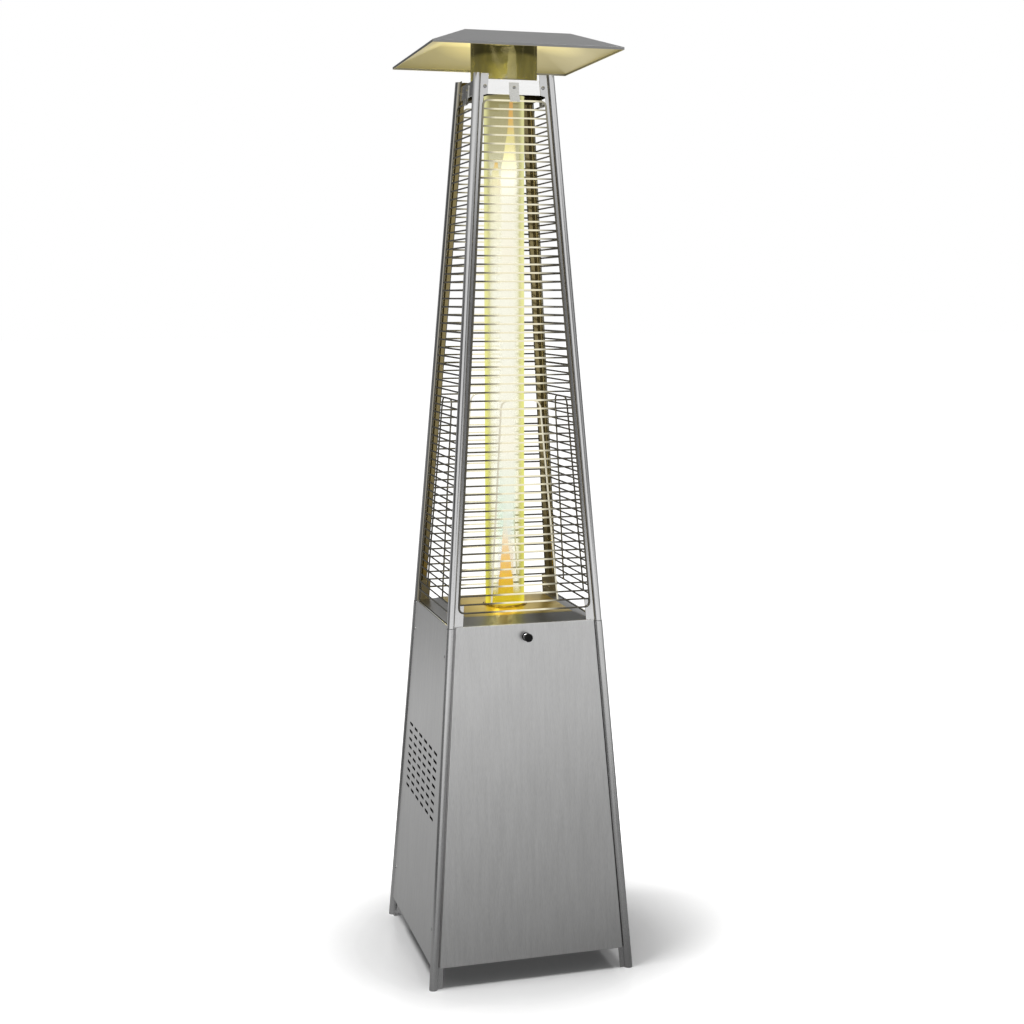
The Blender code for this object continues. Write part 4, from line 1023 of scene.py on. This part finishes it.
def make_flame():
    cream, peach = (0.99, 0.96, 0.86), (0.98, 0.88, 0.76)
    white, rose = (1.0, 0.99, 0.97), (1.0, 0.92, 0.86)
    core = flame_material(
        "flame_core_glow",
        0.9,
        2.13,
        (
            (0.0, (0.78, 0.56, 0.02)),
            (0.05, (0.84, 0.52, 0.03)),
            (0.09, (0.88, 0.56, 0.2)),
            (0.14, (0.9, 0.84, 0.84)),
            (0.2, (0.93, 0.96, 0.93)),
            (0.3, rose),
            (0.4, white),
            (0.6, white),
            (0.7, peach),
            (0.8, white),
            (0.86, (0.97, 0.92, 0.66)),
            (0.93, (0.96, 0.86, 0.36)),
            (0.965, (1.0, 0.5, 0.08)),
            (1.0, (0.95, 0.32, 0.04)),
        ),
        (
            (0.0, (0.7, 0.52, 0.03)),
            (0.025, (0.16, 0.12, 0.12)),
            (0.06, (0.24, 0.19, 0.46)),
            (0.09, (0.42, 0.44, 0.78)),
            (0.13, (0.6, 0.84, 0.78)),
            (0.2, (0.74, 0.88, 0.82)),
            (0.32, cream),
            (0.5, (0.93, 0.92, 0.84)),
            (0.7, cream),
            (0.85, cream),
            (0.93, (0.97, 0.85, 0.4)),
            (1.0, (0.97, 0.42, 0.06)),
        ),
        (0.82, 0.3),
        shift=0.008,
        strength=((0.0, 1.0), (0.8, 1.0), (0.88, 1.6)),
        density=((0.0, 0.14), (0.12, 0.2), (0.24, 1.0)),
    )
    flame_body(
        "flame_core",
        (
            (0.900, 0.026, 0.001),
            (0.990, 0.025, 0.001),
            (1.130, 0.024, 0.003),
            (1.280, 0.026, 0.004),
            (1.450, 0.023, 0.010),
            (1.550, 0.021, 0.009),
            (1.650, 0.023, 0.010),
            (1.790, 0.021, 0.013),
            (1.870, 0.021, 0.012),
            (1.960, 0.019, 0.013),
            (2.010, 0.014, 0.015),
            (2.046, 0.009, 0.0165),
            (2.086, 0.0055, 0.0165),
            (2.125, 0.004, 0.0175),
        ),
        core,
    )
    cone = flame_material(
        "flame_cone_glow",
        0.9,
        1.19,
        (
            (0.0, (0.74, 0.56, 0.01)),
            (0.15, (0.8, 0.52, 0.01)),
            (0.38, (0.92, 0.55, 0.04)),
            (0.55, (0.96, 0.62, 0.4)),
            (1.0, (0.97, 0.84, 0.78)),
        ),
        (
            (0.0, (0.6, 0.4, 0.01)),
            (0.2, (0.8, 0.42, 0.02)),
            (0.45, (0.92, 0.5, 0.25)),
            (1.0, (0.95, 0.8, 0.76)),
        ),
        (0.92, 0.85),
        shift=0.001,
        wide=0.024,
        strength=((0.0, 1.25), (0.8, 1.15), (1.0, 1.0)),
    )
    flame_body(
        "flame_cone",
        (
            (0.900, 0.0200, 0.001),
            (0.940, 0.0180, 0.001),
            (0.985, 0.0130, 0.001),
            (1.040, 0.0080, 0.001),
            (1.100, 0.0045, 0.001),
            (1.190, 0.0012, 0.001),
        ),
        cone,
        shells=(1.0, 0.7),
    )
    tongue = flame_material(
        "flame_tongue_glow",
        1.70,
        1.98,
        ((0.0, cream), (0.7, (0.96, 0.93, 0.7)), (0.93, (0.96, 0.88, 0.5)), (1.0, (1.0, 0.55, 0.1))),
        ((0.0, (0.85, 0.85, 0.5)), (0.7, (0.95, 0.88, 0.62)), (1.0, (0.98, 0.5, 0.12))),
        (0.3, 0.12),
        shift=-0.021,
        density=((0.0, 0.0), (0.5, 1.0)),
    )
    flame_body(
        "flame_tongue",
        (
            (1.700, 0.003, -0.018),
            (1.780, 0.012, -0.021),
            (1.870, 0.018, -0.021),
            (1.925, 0.016, -0.021),
            (1.950, 0.010, -0.021),
            (1.980, 0.004, -0.019),
        ),
        tongue,
    )
    top = flame_material(
        "flame_top_glow",
        2.168,
        2.262,
        ((0.0, (1.0, 0.9, 0.5)), (1.0, (1.0, 0.85, 0.3))),
        ((0.0, (1.0, 0.8, 0.3)), (1.0, (0.95, 0.7, 0.1))),
        (0.5, 0.3),
        shift=0.02,
    )
    pale = ((0.0, (0.8, 0.75, 0.2)), (0.25, (1.0, 0.99, 0.96)), (1.0, (0.99, 0.98, 0.9)))
    haze = flame_material(
        "flame_haze_glow",
        0.93,
        1.99,
        pale,
        pale,
        (0.3, 0.3),
        density=((0.0, 0.0), (0.14, 0.03), (0.3, 1.0), (0.88, 1.0), (1.0, 0.0)),
    )
    sheath = ((0.93, 0.0445, 0.0), (1.40, 0.0440, 0.0), (1.99, 0.0445, 0.0))
    flame_body("flame_haze", sheath, haze, 32, 0.002, (1.0,))
    flame_body(
        "flame_top",
        ((2.168, 0.010, 0.020), (2.200, 0.012, 0.020), (2.235, 0.010, 0.020), (2.262, 0.003, 0.020)),
        top,
    )


# Flame screen
SCREEN_RADIUS = half(DECK_TOP) - 0.0100
SCREEN_WALL = 0.0012
SCREEN_BEAD = 0.0016
SEAM_TURN = 2.2


def make_screen():
    radius = SCREEN_RADIUS
    low, high = DECK_TOP + 0.0003, SCREEN_TOP
    profile = [
        (radius - SCREEN_WALL, low),
        (radius, low),
        (radius, low + 0.002),
        (radius, high - 0.002),
        (radius, high),
        (radius - SCREEN_WALL, high),
    ]
    obj = piece("flame_screen_sheet", lathe(profile, 72), screen_material(), "frame")
    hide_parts("flame_screen")
    shape = bmesh.new()
    for z in (low + SCREEN_BEAD, high - SCREEN_BEAD):
        sweep(shape, circle(radius + 0.0004, z, 72), SCREEN_BEAD, 8, closed=True)
    seam_x, seam_y = radius * math.cos(SEAM_TURN), radius * math.sin(SEAM_TURN)
    seam = [Vector((seam_x, seam_y, z)) for z in (low, high)]
    sweep(shape, seam, 0.0014, 8)
    piece("flame_screen_rims", shape, BURNER, "frame")


# Fasteners
def hexagon(radius, z, count):
    points = []
    for n in range(count):
        a = 2 * math.pi * n / count
        sector = (a % (math.pi / 3)) - math.pi / 6
        r = radius * math.cos(math.pi / 6) / math.cos(sector)
        points.append(Vector((r * math.cos(a), r * math.sin(a), z)))
    return points


def screw_head(name, place, radius=0.0042, tall=0.0024, body="frame", replaced=None):
    """A pan head with a hexagon socket."""
    shape = bmesh.new()
    count = 24
    rings = [
        circle(radius, 0.0, count),
        circle(radius, tall * 0.4, count),
        circle(radius * 0.93, tall * 0.7, count),
        circle(radius * 0.75, tall * 0.93, count),
        circle(radius * 0.6, tall, count),
        hexagon(radius * 0.46, tall, count),
        hexagon(radius * 0.42, tall * 0.35, count),
    ]
    skin(shape, rings, caps=True)
    obj = piece(name, shape, SCREW, body, place, smooth=40)
    if replaced:
        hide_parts(replaced)


FRAME_SCREW_Z = DECK_TOP - 0.0175
FRAME_SCREW_IN = 0.0205
CLIP_SCREW_Z = 2.1465
PANEL_SCREW_IN = 0.0080
PANEL_SCREWS_Z = (0.14, 0.80)


def make_fasteners():
    for side in SIDES:
        for sign, hand in ((-1, "left"), (1, "right")):
            x = sign * (half(FRAME_SCREW_Z) - FRAME_SCREW_IN)
            place = face_place(side, x, FRAME_SCREW_Z, 0.0009)
            screw_head(f"screw_{side}_{hand}", place, replaced=f"frame_screw_{side}_{hand}")
        screw_head(f"clip_screw_{side}", face_place(side, 0.0, CLIP_SCREW_Z, 0.0008), 0.0036, 0.002)
    for side in ("left", "right", "back"):
        for sign, hand in ((-1, "left"), (1, "right")):
            for n, z in enumerate(PANEL_SCREWS_Z):
                x = sign * (half(z) - PANEL_EDGE - PANEL_SCREW_IN)
                place = face_place(side, x, z, PANEL_OUT)
                screw_head(f"panel_screw_{side}_{hand}_{n}", place, 0.0034, 0.0019)


# Small parts
KNOB_RADIUS = 0.0105
KNOB_TALL = 0.0257
KNOB_DROP = 0.0320
DIAL_AT = Vector((-0.035, BOX_FRONT, 0.815))
DIAL_FACE = -0.0420
TICK_FROM = 0.0235
TICK_TO = 0.0270
MAIN_TICK_TO = 0.0300
SEAT_SLOTS = 14
SEAT_SLOT_SHARE = 0.62


def make_knob():
    """The door knob, fluted round its rim, on a washer and a ferrule."""
    shape = bmesh.new()
    count = 60
    rows = (
        (0.42, 0.02, 0.0),
        (0.42, 0.62, 0.0),
        (0.62, 0.68, 0.0),
        (0.92, 0.7, 0.3),
        (0.985, 0.73, 1.0),
        (1.0, 0.8, 1.0),
        (1.0, 0.9, 1.0),
        (0.95, 0.96, 0.6),
        (0.84, 0.99, 0.1),
        (0.6, 1.0, 0.0),
        (0.56, 0.975, 0.0),
        (0.1, 0.97, 0.0),
    )
    rings = []
    for r, s, flute in rows:
        ring = []
        for n in range(count):
            a = 2 * math.pi * n / count
            radius = KNOB_RADIUS * r * (1 - 0.05 * flute * (0.5 + 0.5 * math.cos(12 * a)))
            ring.append(Vector((radius * math.cos(a), radius * math.sin(a), 0.0003 + s * KNOB_TALL)))
        rings.append(ring)
    skin(shape, rings, caps=True)
    place = face_place("front", 0.0, PANEL_TOP - KNOB_DROP, PANEL_OUT)
    obj = piece("door_knob_moulded", shape, BLACK, "door", place)
    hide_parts("door_knob")
    washer = ((0.0044, 0.0), (0.0104, 0.0), (0.0104, 0.0012), (0.0096, 0.0018), (0.0044, 0.0018))
    piece("door_knob_washer", lathe(washer, 40), BLACK, "door", place)
    ferrule = ((0.0044, 0.0019), (0.0078, 0.0019), (0.0078, 0.0032), (0.0070, 0.0040), (0.0044, 0.0040))
    piece("door_knob_ferrule", lathe(ferrule, 40), BRIGHT, "door", place)


def make_seat_slots():
    """Painted shade: dark strips in the seat round the foot of the glass, standing for its air slots."""
    shape = bmesh.new()
    inner, outer, low, high = 0.0528, 0.0556, SEAT_TOP - 0.0004, SEAT_TOP + 0.00015
    section = ((inner, low), (outer, low), (outer, high), (inner, high))
    for n in range(SEAT_SLOTS):
        rings = []
        for k in range(7):
            a = 2 * math.pi * (n + SEAT_SLOT_SHARE * k / 6) / SEAT_SLOTS
            c, s = math.cos(a), math.sin(a)
            rings.append([Vector((r * c, r * s, z)) for r, z in section])
        skin(shape, rings, caps=True)
    piece("seat_slots", shape, SLOT_PAINTED_SHADE, "frame")


def mark(shape, ends, across, section):
    """A flat mark from end to end, its section given as places across it and along Y."""
    rings = [[point + across * w + Vector((0.0, d, 0.0)) for w, d in section] for point in ends]
    skin(shape, rings, caps=True)


def make_control_marks():
    """Plain ticks round the control knob, and a pointer on it."""
    shape = bmesh.new()
    section = ((-0.0008, 0.0), (0.0008, 0.0), (0.0008, -0.0002), (-0.0008, -0.0002))
    for degrees in (90, 45, 0, -45, -90):
        a = math.radians(degrees)
        along = Vector((math.cos(a), 0.0, math.sin(a)))
        across = Vector((-math.sin(a), 0.0, math.cos(a)))
        reach = MAIN_TICK_TO if degrees in (90, -90, 0) else TICK_TO
        mark(shape, (DIAL_AT + along * TICK_FROM, DIAL_AT + along * reach), across, section)
    piece("control_ticks", shape, WHITE_INK, "frame")
    shape = bmesh.new()
    section = ((-0.0009, 0.0001), (0.0009, 0.0001), (0.0009, -0.0003), (-0.0009, -0.0003))
    ends = (DIAL_AT + Vector((0.0, DIAL_FACE, z)) for z in (0.003, 0.0135))
    mark(shape, ends, Vector((1.0, 0.0, 0.0)), section)
    piece("knob_pointer", shape, WHITE_INK, "dial")


def dress_nodes():
    for corner in ("fl", "fr", "bl", "br"):
        dress(f"lower_post_{corner}", POST_LOW, 0.0002)
        dress(f"upper_post_{corner}", POST_BACK_PAINTED_SHADE if corner[0] == "b" else POST_HIGH, 0.0002)
        dress(f"post_splice_{corner}", POST_HIGH, 0.0003)
    for side in SIDES:
        dress(f"guard_clip_{side}", CLIP, 0.0002)
    finishes = (
        (SHELF, ("base_shelf",)),
        (BRIGHT, ("door_hinge_rod", "door_strike", "valve_spindle")),
        (BLACK, ("door_magnet", "control_knob", "igniter_body", "tilt_switch")),
        (RED, ("igniter_button",)),
        (PLATE, ("burner_plate", "glass_seat")),
        (PANEL, ("control_box",)),
        (BRASS, ("gas_valve", "gas_inlet", "injector")),
        (COPPER, ("feed_tube", "pilot_tube", "thermocouple")),
        (BURNER, ("burner_cup", "burner_grid")),
        (CERAMIC, ("spark_electrode",)),
        (RUBBER, ("ignition_lead",)),
        (BAND, ("top_frame",)),
        (COVER, ("reflector",)),
    )
    for material, names in finishes:
        for name in names:
            dress(name, material)


make_camera()
make_world()
make_floor()
make_lamps()
dress_nodes()
make_panels()
for side in SIDES:
    make_guard(side)
make_glass()
make_flame()
make_screen()
make_fasteners()
make_knob()
make_seat_slots()
make_control_marks()

bpy.context.scene.view_settings.view_transform = "Standard"
bpy.context.scene.cycles.transparent_max_bounces = 64
bpy.context.view_layer.update()
